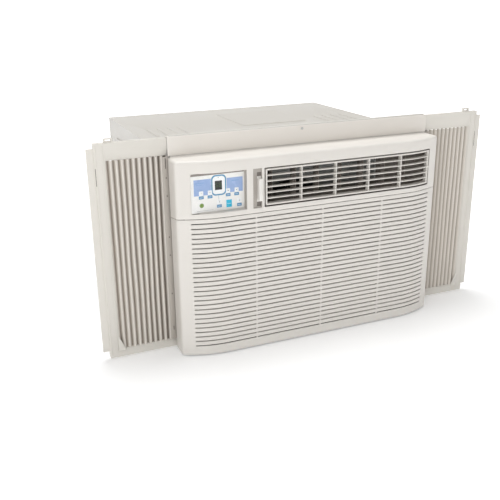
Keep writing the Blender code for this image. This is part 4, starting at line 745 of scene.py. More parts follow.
fan_low, fan_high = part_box("condenser_fan")
ring_radius = (fan_high.x - fan_low.x) / 2
f0, f1 = fan_low.y, fan_high.y
hub_radius = 0.0318
fan_parts = [
    turned("fan_hub", [
        (bore, f0 + 0.004), (0.012, f0 + 0.004), (0.0135, f0 + 0.005), (0.0135, f0 + 0.010),
        (hub_radius - 0.010, f0 + 0.0105), (hub_radius - 0.0024, f0 + 0.002), (hub_radius - 0.0012, f0 + 0.0002),
        (hub_radius, f0 + 0.0015), (hub_radius, f1 - 0.0004),
        (hub_radius - 0.0022, f1 - 0.0004), (hub_radius - 0.0022, f0 + 0.013), (0.0135, f0 + 0.013),
        (0.0135, f1 - 0.001), (bore, f1 - 0.001), (bore, f0 + 0.004),
    ], axle, (0, 1, 0), steps=48),
    turned("fan_ring", [
        (ring_radius - 0.0022, f1 - 0.0100), (ring_radius - 0.0004, f1 - 0.0100), (ring_radius, f1 - 0.0094),
        (ring_radius, f1 - 0.0006), (ring_radius - 0.0004, f1), (ring_radius - 0.0036, f1),
        (ring_radius - 0.0040, f1 - 0.0006), (ring_radius - 0.0026, f1 - 0.0030), (ring_radius - 0.0022, f1 - 0.0100),
    ], axle, (0, 1, 0), steps=72),
]
blade_foot = 0.0305
alone()
bpy.ops.mesh.primitive_plane_add(size=1.0, location=(0, 0, 0))
blade = settled("fan_blade")
pick(blade, "FACE", lambda middle, normal: True)
bpy.ops.mesh.subdivide(number_cuts=11)
middle_depth = (f0 + f1) / 2 + 0.001
for vert in bmesh.from_edit_mesh(blade.data).verts:
    share = vert.co.x + 0.5
    chord = vert.co.y * 2.0
    radius = blade_foot + share * (ring_radius - 0.0018 - blade_foot)
    angle = 0.35 * share + chord * (0.30 - 0.02 * share)
    lean = chord * (0.010 - 0.002 * share) + 0.0025 * (1.0 - chord * chord)
    vert.co = Vector((rotor_x + radius * math.cos(angle), middle_depth + lean, rotor_z + radius * math.sin(angle)))
faced_out()
modified(blade, "SOLIDIFY", thickness=0.0020, offset=0.0)
softened(blade, 0.0007, 2, 50)
fan_parts += around(blade, 5, axle, (0, 1, 0))
fan_dark = moulded("fan_dark", (0.060, 0.058, 0.056), 0.36, 0.0012)
fitted(joined("condenser_fan_moulding", fan_parts), fan_dark, "rotor", "dark_plastic", "condenser_fan")


# ---------------------------------------------------------------- blower
# The squirrel-cage wheel has forty thin curved blades between a dished back plate and a front ring. It runs
# in a scroll of expanded polystyrene, closed in front by an inlet plate and led upwards into the duct.

wheel_low, wheel_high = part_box("blower_wheel")
w0, w1 = wheel_low.y, wheel_high.y
wheel_radius = 0.1350
blade_inner = 0.1160
blade_count = 40
wheel_parts = [
    turned("wheel_back", [
        (bore, w1 - 0.020), (0.014, w1 - 0.020), (0.015, w1 - 0.019), (0.015, w1 - 0.0090), (0.050, w1 - 0.0060),
        (0.100, w1 - 0.0024), (wheel_radius - 0.001, w1 - 0.0022), (wheel_radius, w1 - 0.0012),
        (wheel_radius - 0.001, w1), (bore, w1), (bore, w1 - 0.020),
    ], axle, (0, 1, 0), steps=64),
    turned("wheel_ring", [
        (blade_inner + 0.004, w0 + 0.0016), (blade_inner + 0.006, w0), (wheel_radius - 0.0010, w0),
        (wheel_radius, w0 + 0.001), (wheel_radius, w0 + 0.0060), (wheel_radius - 0.0018, w0 + 0.0060),
        (wheel_radius - 0.0020, w0 + 0.0022),
        (blade_inner + 0.004, w0 + 0.0022), (blade_inner + 0.004, w0 + 0.0016),
    ], axle, (0, 1, 0), steps=64),
    turned("wheel_band", [
        (wheel_radius - 0.0012, w0 + 0.050), (wheel_radius - 0.0001, w0 + 0.050), (wheel_radius - 0.0001, w0 + 0.053),
        (wheel_radius - 0.0012, w0 + 0.053), (wheel_radius - 0.0012, w0 + 0.050),
    ], axle, (0, 1, 0), steps=64),
]
alone()
bpy.ops.mesh.primitive_plane_add(size=1.0, location=(0, 0, 0))
wheel_blade = settled("wheel_blade")
pick(wheel_blade, "EDGE", lambda middle, along: abs(along.x) > 0.9)
bpy.ops.mesh.subdivide(number_cuts=4)
for vert in bmesh.from_edit_mesh(wheel_blade.data).verts:
    share = vert.co.x + 0.5
    radius = blade_inner + share * (wheel_radius - 0.0012 - blade_inner)
    angle = 0.085 * math.sin(share * math.pi * 0.55)
    depth = w0 + 0.0012 + (vert.co.y + 0.5) * (w1 - w0 - 0.0028)
    vert.co = Vector((rotor_x + radius * math.cos(angle), depth, rotor_z + radius * math.sin(angle)))
faced_out()
modified(wheel_blade, "SOLIDIFY", thickness=0.0009, offset=0.0)
wheel_parts += around(wheel_blade, blade_count, axle, (0, 1, 0))
fitted(joined("blower_cage", wheel_parts), fan_dark, "rotor", "dark_plastic", "blower_wheel")


def bead_foam(name, colour):
    """Expanded polystyrene: pressed beads with faint dark seams between them."""
    finish = Finish(name, colour, 0.82, Specular_IOR_Level=0.3)
    values = {"Vector": finish.place, "Scale": 330.0}
    seams = finish.node("ShaderNodeTexVoronoi", {"feature": "DISTANCE_TO_EDGE"}, values, "Distance")
    seam = seams.below(0.05, 0.05)
    soil = finish.noise(0.08, 4.0)
    base_tone = finish.mix(soil, shade(colour, 0.93), colour)
    finish.set("Base Color", finish.mix(seam * 0.6, base_tone, shade(colour, 0.72)))
    finish.set("Roughness", seam * 0.1 + 0.78)
    finish.bump(seams, 0.0006, 0.6)
    return finish.material


foam_white = bead_foam("foam_white", (0.74, 0.74, 0.72))
duct_grey = bead_foam("duct_grey", (0.300, 0.265, 0.236))
foam_parts = (
    ("blower_scroll", 0.0015, foam_white), ("air_duct", 0.0007, duct_grey), ("drain_pan", 0.0006, foam_white),
)
for node, edge, look in foam_parts:
    dressed(node, node + "_foam", look, "cabinet", "duct_foam", edge=edge, segments=3)
dark_moulding = moulded("dark_moulding", (0.105, 0.098, 0.092), 0.45, 0.0010)
dressed("blower_inlet_plate", "inlet_plate_moulding", dark_moulding, "cabinet", "dark_plastic",
        edge=0.0008, segments=3, angle=40.0)


# ---------------------------------------------------------------- electrics
# The control board hangs behind the keys on a green laminate, with relays, a transformer and a cable plug.
# The motor's run capacitor is an aluminium can with spade terminals, standing in the steel box.

_, board_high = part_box("control_board")
laminate = Finish("green_laminate", (0.020, 0.130, 0.055), 0.35, Specular_IOR_Level=0.5, Coat_Roughness=0.12)
bx, _, bz = laminate.axes()
cell = laminate.node("ShaderNodeTexVoronoi", {"feature": "DISTANCE_TO_EDGE", "distance": "MANHATTAN"},
                     {"Vector": laminate.place, "Scale": 170.0}, "Distance")
track = cell.below(0.08, 0.02)
pads = bx.repeat(0.0050).below(0.0007, 0.0001) * bz.repeat(0.0050).below(0.0007, 0.0001)
green = laminate.mix(track, (0.018, 0.110, 0.045), (0.040, 0.220, 0.090))
laminate.set("Base Color", laminate.mix(pads, green, (0.60, 0.60, 0.56)))
laminate.set("Roughness", laminate.noise(0.01) * 0.15 + 0.25)
laminate.set("Coat Weight", laminate.noise(0.03) * 0.3 + 0.3)
laminate.bump(track, 0.00005)
dressed("control_board", "board_laminate", laminate.material, "cabinet", "circuit_board", edge=0.0002)
parts_y = board_high.y
chips = []
for x, z, wide, tall, proud in (
        (-0.272, 0.400, 0.015, 0.020, 0.016), (-0.252, 0.400, 0.015, 0.020, 0.016),
        (-0.205, 0.395, 0.026, 0.030, 0.022), (-0.262, 0.362, 0.024, 0.010, 0.004),
        (-0.225, 0.358, 0.010, 0.016, 0.012), (-0.240, 0.375, 0.008, 0.008, 0.003)):
    chip = block("board_part", (x - wide / 2, parts_y - 0.0002, z - tall / 2),
                 (x + wide / 2, parts_y + proud, z + tall / 2))
    chips.append(rounded(chip, 0.0008, 2, lambda middle, along: middle.y > parts_y))
for x, z in ((-0.195, 0.362), (-0.205, 0.362)):
    chips.append(turned("board_can", [
        (0.0, 0.0), (0.0040, 0.0), (0.0040, 0.0010), (0.0037, 0.0014), (0.0040, 0.0018), (0.0040, 0.0110),
        (0.0036, 0.0115), (0.0, 0.0115),
    ], (x, parts_y, z), (0, 1, 0), steps=24))
parts_look = moulded("board_parts_black", (0.040, 0.042, 0.048), 0.38, 0.0006)
fitted(joined("board_parts", chips), parts_look, "cabinet", "dark_plastic")

spot, z0, z1, r = upright("run_capacitor")
can = turned("capacitor_can", [
    (0.0, z0), (r - 0.0015, z0), (r - 0.0004, z0 + 0.0012), (r - 0.0004, z1 - 0.0080), (r, z1 - 0.0072),
    (r, z1 - 0.0064), (r - 0.0008, z1 - 0.0058), (r - 0.0020, z1 - 0.0064), (0.0, z1 - 0.0064),
], spot, steps=48)
spun = fin_stock("capacitor_aluminium", (0.66, 0.67, 0.68))
fitted(can, spun, "cabinet", "capacitor_can", "run_capacitor")
spades = []
for dx, dy in ((-0.009, 0.004), (0.009, 0.004), (0.0, -0.009)):
    spade = block("spade", (spot.x + dx - 0.0030, spot.y - 0.0004 + dy, z1 - 0.0068),
                  (spot.x + dx + 0.0030, spot.y + 0.0004 + dy, z1 - 0.0002))
    spades.append(rounded(spade, 0.0003, 1))
fitted(joined("capacitor_spades", spades), screw_zinc, "cabinet", "capacitor_can")


# ---------------------------------------------------------------- grille frame and filter
# A dark moulded frame is screwed to the chassis behind the grille and holds its hinge pins. The filter is a
# woven polypropylene net welded into a rim with cross bars, and it lifts out when the grille is tipped.

dressed("grille_frame", "grille_frame_moulding", dark_moulding, "cabinet", "dark_plastic", edge=0.0006)
bush_low, bush_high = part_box("cord_bushing")
spot = Vector(((bush_low.x + bush_high.x) / 2, 0.0, (bush_low.z + bush_high.z) / 2))
b0, b1, r = bush_low.y, bush_high.y, (bush_high.x - bush_low.x) / 2
bushing = turned("bushing_rubber", [
    (0.0046, b0), (r - 0.0008, b0), (r, b0 + 0.0008), (r, b0 + 0.0020), (r - 0.0006, b0 + 0.0025),
    (r - 0.0031, b0 + 0.0028), (r - 0.0031, b1 - 0.0006), (r - 0.0037, b1), (0.0046, b1), (0.0046, b0),
], spot, (0, 1, 0), steps=36)
fitted(bushing, rubber_black.material, "cabinet", "rubber", "cord_bushing")

net_low, net_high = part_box("air_filter")
net = Finish("filter_net", (0.20, 0.21, 0.22), 0.75, Specular_IOR_Level=0.3)
nx, _, nz = net.axes()
mesh_pitch = 0.0014
threads = nx.repeat(mesh_pitch).below(0.00028, 0.0001).most(nz.repeat(mesh_pitch).below(0.00028, 0.0001))
lint = net.noise(0.030, 5.0)
dulled = net.mix(lint, (0.300, 0.282, 0.262), (0.380, 0.355, 0.330))
net.set("Base Color", net.mix(threads, dulled, (0.58, 0.55, 0.52)))
net.set("Roughness", lint * 0.15 + 0.70)
net.bump(threads, 0.0003)
rim_width = 0.008
y0, y1 = net_low.y, net_high.y
panel = block("filter_panel", (net_low.x + 0.002, y0 + 0.0006, net_low.z + 0.002),
              (net_high.x - 0.002, y0 + 0.0014, net_high.z - 0.002))
rounded(panel, 0.0002, 1)
fitted(panel, net.material, "grille", "filter_mesh")
cross_half = 0.0012
spans = [((net_low.x, y0, z), (net_high.x, y1, z + rim_width)) for z in (net_low.z, net_high.z - rim_width)]
for x in (net_low.x, net_high.x - rim_width):
    spans.append(((x, y0 + 0.0001, net_low.z + 0.001), (x + rim_width, y1 - 0.0001, net_high.z - 0.001)))
for k in range(1, 6):
    x = net_low.x + (net_high.x - net_low.x) * k / 6
    spans.append(((x - cross_half, y0 + 0.0003, net_low.z + 0.002), (x + cross_half, y0 + 0.0032, net_high.z - 0.002)))
for k in range(1, 4):
    z = net_low.z + (net_high.z - net_low.z) * k / 4
    spans.append(((net_low.x + 0.002, y0 + 0.0002, z - cross_half), (net_high.x - 0.002, y0 + 0.0031, z + cross_half)))
filter_bars = [rounded(block("filter_bar", low, high), 0.0006, 2) for low, high in spans]
rim_grey = moulded("filter_rim_grey", (0.250, 0.255, 0.260), 0.50, 0.0008)
fitted(joined("filter_rim", filter_bars), rim_grey, "grille", "filter_mesh", "air_filter")


# ---------------------------------------------------------------- vent lever and door
# The fresh-air lever slides up and down in its guide; its rod reaches back to a flap in the bulkhead.
# Fine ridges across the handle give the finger a hold.

lever_white = moulded("lever_white", (0.800, 0.775, 0.735), 0.36)
lever_low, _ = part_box("vent_lever")
lever = from_frame("vent_lever", "vent_lever_moulding", edge=0.0010, segments=3)
handle_x, handle_z = -0.152, 0.383
ridge_half, ridge_pitch = 0.0032, 0.0026
ridge = block("lever_ridge", (handle_x - ridge_half, lever_low.y - 0.0005, handle_z - 0.0004),
              (handle_x + ridge_half, lever_low.y + 0.0012, handle_z + 0.0004))
rounded(ridge, 0.00035, 2)
grips = repeated(ridge, [(0, 0, k * ridge_pitch) for k in (-3, -2, -1, 1, 2, 3)])
# A wide plate behind the guide keeps the slot covered wherever the lever stands.
shield_half_x, shield_half_z = 0.0072, 0.0500
shield = block("lever_shield", (handle_x - shield_half_x, sash_y - 0.0708, handle_z - shield_half_z),
               (handle_x + shield_half_x, sash_y - 0.0696, handle_z + shield_half_z))
rounded(shield, 0.0004, 1)
# The shield's dark grey is painted shade in the lever's opening.
shield_painted_shade = moulded("shield_painted_shade", (0.190, 0.168, 0.148), 0.50)
fitted(shield, shield_painted_shade, "lever", "front_plastic")
fitted(joined("vent_lever_moulding", [lever, *grips]), lever_white, "lever", "front_plastic", "vent_lever")
dressed("vent_door", "vent_door_flap", dark_moulding, "fresh_air_door", "dark_plastic", edge=0.0004)


# ---------------------------------------------------------------- rails and channels
# Painted steel rails are screwed across the top and bottom of the sleeve, and a channel down each side.
# They hold the curtains against the window frame: the top rail's folded lip drops behind the sash.

rail_enamel = enamel("rail_enamel", (0.755, 0.718, 0.668), 0.42)
rail_low, rail_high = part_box("top_rail")
dressed("top_rail", "top_rail_sheet", rail_enamel, "cabinet", "case_paint", edge=0.0009, segments=3)
dressed("bottom_rail", "bottom_rail_sheet", rail_enamel, "cabinet", "case_paint", edge=0.0007)

# A foam strip is glued along the top rail's folded lip, and plated screws hold the rail to the sleeve.
seal_foam = Finish("seal_foam", (0.64, 0.62, 0.58), 0.9, Sheen_Weight=0.2)
pores = seal_foam.noise(0.0009, 2.0)
seal_foam.set("Base Color", seal_foam.mix(pores, (0.52, 0.50, 0.46), (0.70, 0.68, 0.64)))
seal_foam.set("Roughness", pores * 0.1 + 0.85)
seal_foam.bump(pores, 0.0003)
strip = block("seal_strip", (rail_low.x + 0.006, rail_low.y + 0.0030, rail_high.z - 0.0004),
              (rail_high.x - 0.006, rail_low.y + 0.0120, rail_high.z + 0.0022))
rounded(strip, 0.0012, 3, lambda middle, along: middle.z > rail_high.z)
fitted(strip, seal_foam.material, "cabinet", "case_paint")

rail_screws = [screw("rail_screw", (-0.0111, rail_low.y, rail_high.z - 0.0065), (0, -1, 0), 0.0032, 0.0016)]
for x in (-0.300, -0.100, 0.100, 0.300):
    rail_screws.append(screw("rail_screw", (x, rail_high.y - 0.010, rail_low.z + 0.0015), (0, 0, 1), 0.0042, 0.0024))
fitted(joined("rail_screws", rail_screws), screw_zinc, "cabinet", "case_paint")

# The channels carry the rails' paint, set much darker here as painted shade beside the housing.
channel_enamel_painted_shade = enamel("channel_enamel_painted_shade", (0.470, 0.432, 0.388), 0.48)
# Each channel slot is given by the height of its middle and half its length.
slot_places = (
    (0.4440, 0.0120), (0.412, 0.0020), (0.3715, 0.0026), (0.276, 0.0020), (0.233, 0.0020), (0.139, 0.0020),
    (0.052, 0.0050),
)
slot_x, slot_side = 0.3408, 0.0008
hands = (("left", -1), ("right", 1))
channel_screws = []
channel_slots = []
for side, sign in hands:
    dressed(side + "_curtain_channel", side + "_channel_sheet", channel_enamel_painted_shade, "cabinet", "case_paint", edge=0.0006)
    # Small slots are punched down the front plate, where the pleats' end strip is staked; each is drawn as a thin dark
    # strip of painted shade.
    plate_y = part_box(side + "_curtain_channel")[0].y
    for z, half in slot_places:
        slot = block("channel_slots", (sign * slot_x - slot_side, plate_y - 0.0002, z - half),
                     (sign * slot_x + slot_side, plate_y + 0.0004, z + half))
        channel_slots.append(rounded(slot, 0.0005, 2, lambda middle, along: abs(along.y) > 0.9))
    for z in (0.070, 0.230, 0.390):
        spot = (sign * (case_high.x + 0.0018), rail_low.y + 0.030, z)
        channel_screws.append(screw("channel_screw", spot, (sign, 0, 0), 0.0036, 0.0020))
fitted(joined("channel_screws", channel_screws), screw_zinc, "cabinet", "case_paint")
# A dark enamel that is painted shade inside the slots.
slot_painted_shade = enamel("slot_painted_shade", (0.110, 0.095, 0.082), 0.60)
fitted(joined("channel_slots", channel_slots), slot_painted_shade, "cabinet", "case_paint")


# ---------------------------------------------------------------- curtain frames
# Each curtain frame is a C of moulded polystyrene: an upright member with a thin outer lip that meets the
# window jamb, and two arms that slide inside the rails. A pull loop stands on top of the member.

def divided(obj, cuts):
    """Cut new edge lines across the whole piece at each (axis, place)."""
    for axis, place in cuts:
        pick(obj, "FACE", lambda middle, normal: True)
        point = [0.0, 0.0, 0.0]
        point[axis] = place
        normal = [0.0, 0.0, 0.0]
        normal[axis] = 1.0
        bpy.ops.mesh.bisect(plane_co=point, plane_no=normal)
    closed()


curtain_white = moulded("curtain_white", (0.700, 0.672, 0.618), 0.45)
member_inner = 0.471
arm_slope = 0.0045
rib_width = 0.0012
for side, sign in hands:
    low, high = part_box(side + "_curtain_frame")
    front = low.y
    outline = from_frame(side + "_curtain_frame", side + "_curtain_c")
    edge_x = sign * member_inner
    slope_x = sign * (member_inner - 0.004)
    divided(outline, [(2, 0.4820), (2, 0.0150), (0, edge_x), (0, slope_x)])
    moved(outline, (0, arm_slope, 0), lambda spot, normal: (
        spot.y < front + 0.001 and abs(spot.x) < member_inner - 0.002
        and (abs(spot.z - 0.4606) < 0.0008 or abs(spot.z - 0.0222) < 0.0008)))
    softened(outline, 0.0011, 3, 40)
    parts = [outline]
    # Two fine ribs run down the member, and a gusset stiffens its lower outer corner.
    for x in (0.4745, 0.4890):
        rib = block("rib", (sign * x - rib_width / 2, front - 0.0010, 0.012),
                    (sign * x + rib_width / 2, front + 0.001, high.z - 0.014))
        parts.append(rounded(rib, 0.0005, 2, lambda middle, along: middle.y < front))
    gusset = block("gusset", (sign * 0.4720 - 0.0150, front - 0.0022, 0.0195),
                   (sign * 0.4720 + 0.0150, front + 0.0004, 0.0560))
    for point, away in (
        ((sign * 0.4570, 0, 0.0220), (-sign * 0.92, 0, 0.40)),
        ((sign * 0.4735, 0, 0), (sign, 0, 0)),
    ):
        pick(gusset, "FACE", lambda middle, normal: True)
        bpy.ops.mesh.bisect(plane_co=point, plane_no=away, clear_outer=True, use_fill=True)
    closed()
    parts.append(rounded(gusset, 0.0007, 2))
    fitted(joined(side + "_curtain_moulding", parts), curtain_white, side + "_curtain", "curtain_plastic",
           side + "_curtain_frame", angle=30.0)
    # The lip clips on at its upper end, where a narrow slot shows, drawn as a thin dark strip of painted shade.
    clip = block(side + "_lip_slot", (sign * 0.4920 - 0.0005, front - 0.0002, 0.409),
                 (sign * 0.4920 + 0.0005, front + 0.0006, 0.447))
    rounded(clip, 0.0004, 2, lambda middle, along: abs(along.y) > 0.9)
    fitted(clip, slot_painted_shade, side + "_curtain", "curtain_plastic")


# ---------------------------------------------------------------- pleats
# The pleats are one strip of flexible vinyl, folded into a bellows. One edge is heat-staked in the channel
# and the other in the frame, so the folds close up when the curtain slides in.

vinyl = Finish("pleat_vinyl_look", (0.600, 0.560, 0.500), 0.52, Specular_IOR_Level=0.35)
texture = vinyl.noise(0.0010, 2.0)
aged = vinyl.noise(0.060, 4.0, (1.0, 1.0, 0.4))
across, depth, _ = vinyl.axes()
pleat_low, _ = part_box("left_pleats")
# The back of each fold is painted darker than its crest, as painted shade in the crease.
ridge = depth.below(pleat_low.y + 0.0044, 0.0028)
# The left curtain's folds are painted darker still, most of all beside the cabinet, as painted shadow from the housing.
dust_and_shade = (across + aged * 0.030).below(-0.372, 0.075)
base_tone = vinyl.mix(aged, (0.450, 0.402, 0.350), (0.500, 0.450, 0.396))
folds = vinyl.mix(across.below(0.0, 0.2), base_tone, vinyl.mix(dust_and_shade, (0.160, 0.132, 0.110), (0.335, 0.292, 0.250)))
crests = vinyl.mix(aged, (0.710, 0.670, 0.612), (0.760, 0.720, 0.665))
vinyl.set("Base Color", vinyl.mix(ridge, folds, crests))
vinyl.set("Roughness", aged * 0.12 + 0.46)
vinyl.bump(texture, 0.00006)
pleat_count = 11
pleat_depth = 0.0080
vinyl_sheet = 0.0007
vinyl_sag = 0.0010
for side, sign in hands:
    low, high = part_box(side + "_pleats")
    inner_x = sign * min(abs(low.x), abs(high.x))
    outer_x = sign * max(abs(low.x), abs(high.x))
    fold = (outer_x - inner_x) / (2 * pleat_count)
    crest, root = low.y + 0.0004, low.y + 0.0004 + pleat_depth
    alone()
    bpy.ops.mesh.primitive_plane_add(
        size=1, location=(inner_x + fold / 2, (crest + root) / 2, (low.z + high.z) / 2), rotation=(math.pi / 2, 0, 0),
    )
    sheet = bpy.context.object
    sheet.scale = (abs(fold), high.z - low.z, 1)
    sheet = settled(side + "_pleated_vinyl")
    moved(sheet, (0, -pleat_depth / 2, 0), lambda spot, normal: abs(spot.x - inner_x) < abs(fold) / 2)
    moved(sheet, (0, pleat_depth / 2, 0), lambda spot, normal: abs(spot.x - inner_x) > abs(fold) / 2)
    pick(sheet, "EDGE", lambda middle, along: abs(middle.x - inner_x - fold) < 1e-5)
    for k in range(2 * pleat_count - 1):
        shift = -pleat_depth if k % 2 == 0 else pleat_depth
        bpy.ops.mesh.extrude_region_move(TRANSFORM_OT_translate={"value": (fold, shift, 0)})
    pick(sheet, "FACE", lambda middle, normal: True)
    bpy.ops.mesh.subdivide(number_cuts=3)
    # The vinyl sags a little between its staked edges, so that no two folds run quite alike.
    for vert in bmesh.from_edit_mesh(sheet.data).verts:
        away = (vert.co.z - low.z) / (high.z - low.z)
        span = abs(vert.co.x - inner_x) / abs(outer_x - inner_x)
        drift = math.sin(math.pi * away) * math.sin(math.pi * span)
        vert.co.x += vinyl_sag * drift * math.sin(7.0 * away + 11.0 * span)
    faced_out()
    softened(sheet, 0.0009, 3, 30)
    modified(sheet, "SOLIDIFY", thickness=vinyl_sheet, offset=0.0)
    fitted(sheet, vinyl.material, "cabinet", "pleat_vinyl", side + "_pleats", angle=50.0)
    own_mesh(sheet)


# ---------------------------------------------------------------- front housing
# The upper front is one ABS moulding: a thin wall that is flat in the middle, sweeps back to both corners
# and turns in over the top, with openings for the controls, the lever and the vent.
# It snaps on to the chassis, and its lower edge leaves a fine joint line over the grille.

front_white = moulded("front_white", (0.735, 0.705, 0.660))
housing_low, housing_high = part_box("front_housing")
front_plane = housing_low.y
front_edge = housing_high.x
flat_half = 0.230
sweep_radius = 0.220
wall = 0.0025


def front_y(x):
    """Where the front face stands: flat in the middle, then an arc back to each corner."""
    bend = max(0.0, abs(x) - flat_half)
    return front_plane + sweep_radius - math.sqrt(sweep_radius ** 2 - bend ** 2)


def front_path(back_y, corner=0.009):
    """Plan of the front from the left back edge round both rounded corners to the right back edge."""
    middle_x = front_edge - corner
    middle_y = front_plane + sweep_radius - math.sqrt((sweep_radius - corner) ** 2 - (middle_x - flat_half) ** 2)
    turn = math.atan2(middle_x - flat_half, front_plane + sweep_radius - middle_y)
    arc_end = flat_half + sweep_radius * math.sin(turn)
    half = [(flat_half + (arc_end - flat_half) * k / 12, front_y(flat_half + (arc_end - flat_half) * k / 12))
            for k in range(12)]
    for k in range(9):
        angle = turn + (math.pi / 2 - turn) * k / 8
        half.append((middle_x + corner * math.sin(angle), middle_y - corner * math.cos(angle)))
    half.append((front_edge, back_y))
    return [(-x, y) for x, y in reversed(half)] + half


def front_skin(name, z_low, z_high, back_y):
    """A skin with no thickness, drawn round the plan of the front."""
    path = front_path(back_y)
    (x0, y0), (x1, y1) = path[0], path[1]
    alone()
    bpy.ops.mesh.primitive_plane_add(size=1, location=(x0, (y0 + y1) / 2, (z_low + z_high) / 2),
                                     rotation=(0, math.pi / 2, 0))
    skin = bpy.context.object
    skin.scale = (z_high - z_low, y0 - y1, 1)
    skin = settled(name)
    pick(skin, "EDGE", lambda middle, along: abs(middle.y - y1) < 1e-5)
    for (ax, ay), (bx, by) in zip(path[1:], path[2:]):
        bpy.ops.mesh.extrude_region_move(TRANSFORM_OT_translate={"value": (bx - ax, by - ay, 0)})
    closed()
    return skin


def opened(obj, x_range, z_range, side_y):
    """Remove the front faces between two places across and two heights."""
    cut_away(obj, lambda middle, normal: (
        x_range[0] < middle.x < x_range[1] and z_range[0] < middle.z < z_range[1] and middle.y < side_y))


def tipping_edge(obj, edge_z, sweep):
    """Bend the edge at a height into the arc that the grille's top sweeps about its hinge."""
    pick(obj, "VERT", lambda spot, normal: abs(spot.z - edge_z) < 0.0001)
    for vert in bmesh.from_edit_mesh(obj.data).verts:
        if vert.select:
            vert.co.z = hinge_z + math.sqrt(sweep ** 2 - (vert.co.y - hinge_y) ** 2)
    bmesh.update_edit_mesh(obj.data)
    closed()


opening_z = (0.341, 0.430)
control_x = (-0.307, -0.182)
lever_x = (-0.167, -0.146)
vent_x = (-0.140, 0.307)
window_y = front_plane + 0.076
hinge_y = window_y - 0.067
hinge_z = 0.012
housing_sweep = 0.3181
housing_edge_z = 0.3225
skin_back_y = window_y - 0.0045

housing = front_skin("housing_front", housing_edge_z, housing_high.z, skin_back_y)
pick(housing, "EDGE", lambda middle, along: middle.z > housing_high.z - 1e-5)
bpy.ops.mesh.edge_face_add()
faced_out()
rounded(housing, 0.0065, 5, lambda middle, along: middle.z > housing_high.z - 1e-5 and middle.y < window_y - 0.006)
divided(housing, [(0, x) for x in (*control_x, *lever_x, *vent_x)] + [(2, z) for z in opening_z])
for x_range in (control_x, lever_x, vent_x):
    opened(housing, x_range, opening_z, window_y - 0.040)
tipping_edge(housing, housing_edge_z, housing_sweep)
moved(housing, (0, 0.0040, 0), lambda spot, normal: spot.z > housing_high.z - 0.003 and spot.y > window_y - 0.005)
modified(housing, "SOLIDIFY", thickness=wall, offset=-1.0, use_even_offset=True)
softened(housing, 0.0007, 3, 50)
# A low bead along the top's back edge closes the gap under the rail.
bead_half = 0.330
bead = block("housing_front", (-bead_half, window_y - 0.0018, housing_high.z - 0.0012),
             (bead_half, window_y - 0.0005, rail_low.z - 0.0001))
rounded(bead, 0.0004, 2, lambda middle, along: middle.z > housing_high.z and middle.y < window_y - 0.001)
fitted(joined("housing_front", [housing, bead]), front_white, "cabinet", "front_plastic", "front_housing", angle=30.0)


# ---------------------------------------------------------------- control panel
# A recessed plate holds six keys and a small display under a printed polycarbonate film.
# The print is two blue bands, a ring round the display, captions under the keys and two badges; a dark band along the
# film's top edge is painted shade under the recess's top wall.

recess = Finish("recess_plastic", (0.735, 0.705, 0.660), 0.45, Specular_IOR_Level=0.4)
wide, _, _ = recess.axes()
# The recess's right side wall and the lever guide beyond it, right of x = -0.1824, are painted darker as painted shade.
recess_painted_shade = (wide * -1).below(0.1824, 0.0003)
settling = recess.noise(0.010, 3.0)
recess.set("Base Color", recess.mix(
    recess_painted_shade, recess.mix(settling, (0.700, 0.672, 0.628), (0.745, 0.715, 0.670)),
    recess.mix(settling, (0.375, 0.345, 0.312), (0.430, 0.398, 0.362)),
))
recess.set("Roughness", settling * 0.12 + 0.40)
recess.bump(recess.noise(0.0006, 1.0), 0.00003)
dressed("control_panel", "control_plate", recess.material, "cabinet", "front_plastic", edge=0.0004)


class FaceMarks:
    """Shapes printed on a flat face, or painted shade, in metres across and up."""

    def __init__(self, finish, soft=0.00012):
        self.finish = finish
        self.soft = soft
        self.x, _, self.z = finish.axes()

    def distance(self, x0, x1, z0, z1, radius):
        """Distance outside a rounded rectangle."""
        across = abs(self.x - (x0 + x1) / 2) - ((x1 - x0) / 2 - radius)
        up = abs(self.z - (z0 + z1) / 2) - ((z1 - z0) / 2 - radius)
        over_x, over_z = across.most(0.0), up.most(0.0)
        outside = (over_x * over_x + over_z * over_z).math("SQRT")
        return outside + across.most(up).least(0.0) - radius

    def patch(self, x0, x1, z0, z1, radius=0.0003):
        return self.distance(x0, x1, z0, z1, radius).below(0.0, self.soft)

    def outline(self, x0, x1, z0, z1, radius, width):
        middle = self.distance(x0, x1, z0, z1, radius)
        return abs(middle + width / 2).below(width / 2, self.soft)


film_low = Vector((control_x[0] + 0.0012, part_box("display_window")[0].y + 0.00005, opening_z[0] + 0.0012))
film_high = Vector((control_x[1] - 0.0012, film_low.y + 0.00022, opening_z[1] - 0.0012))
film = block("control_film", film_low, film_high)
rounded(film, 0.003, 4, lambda middle, along: abs(along.y) > 0.9)

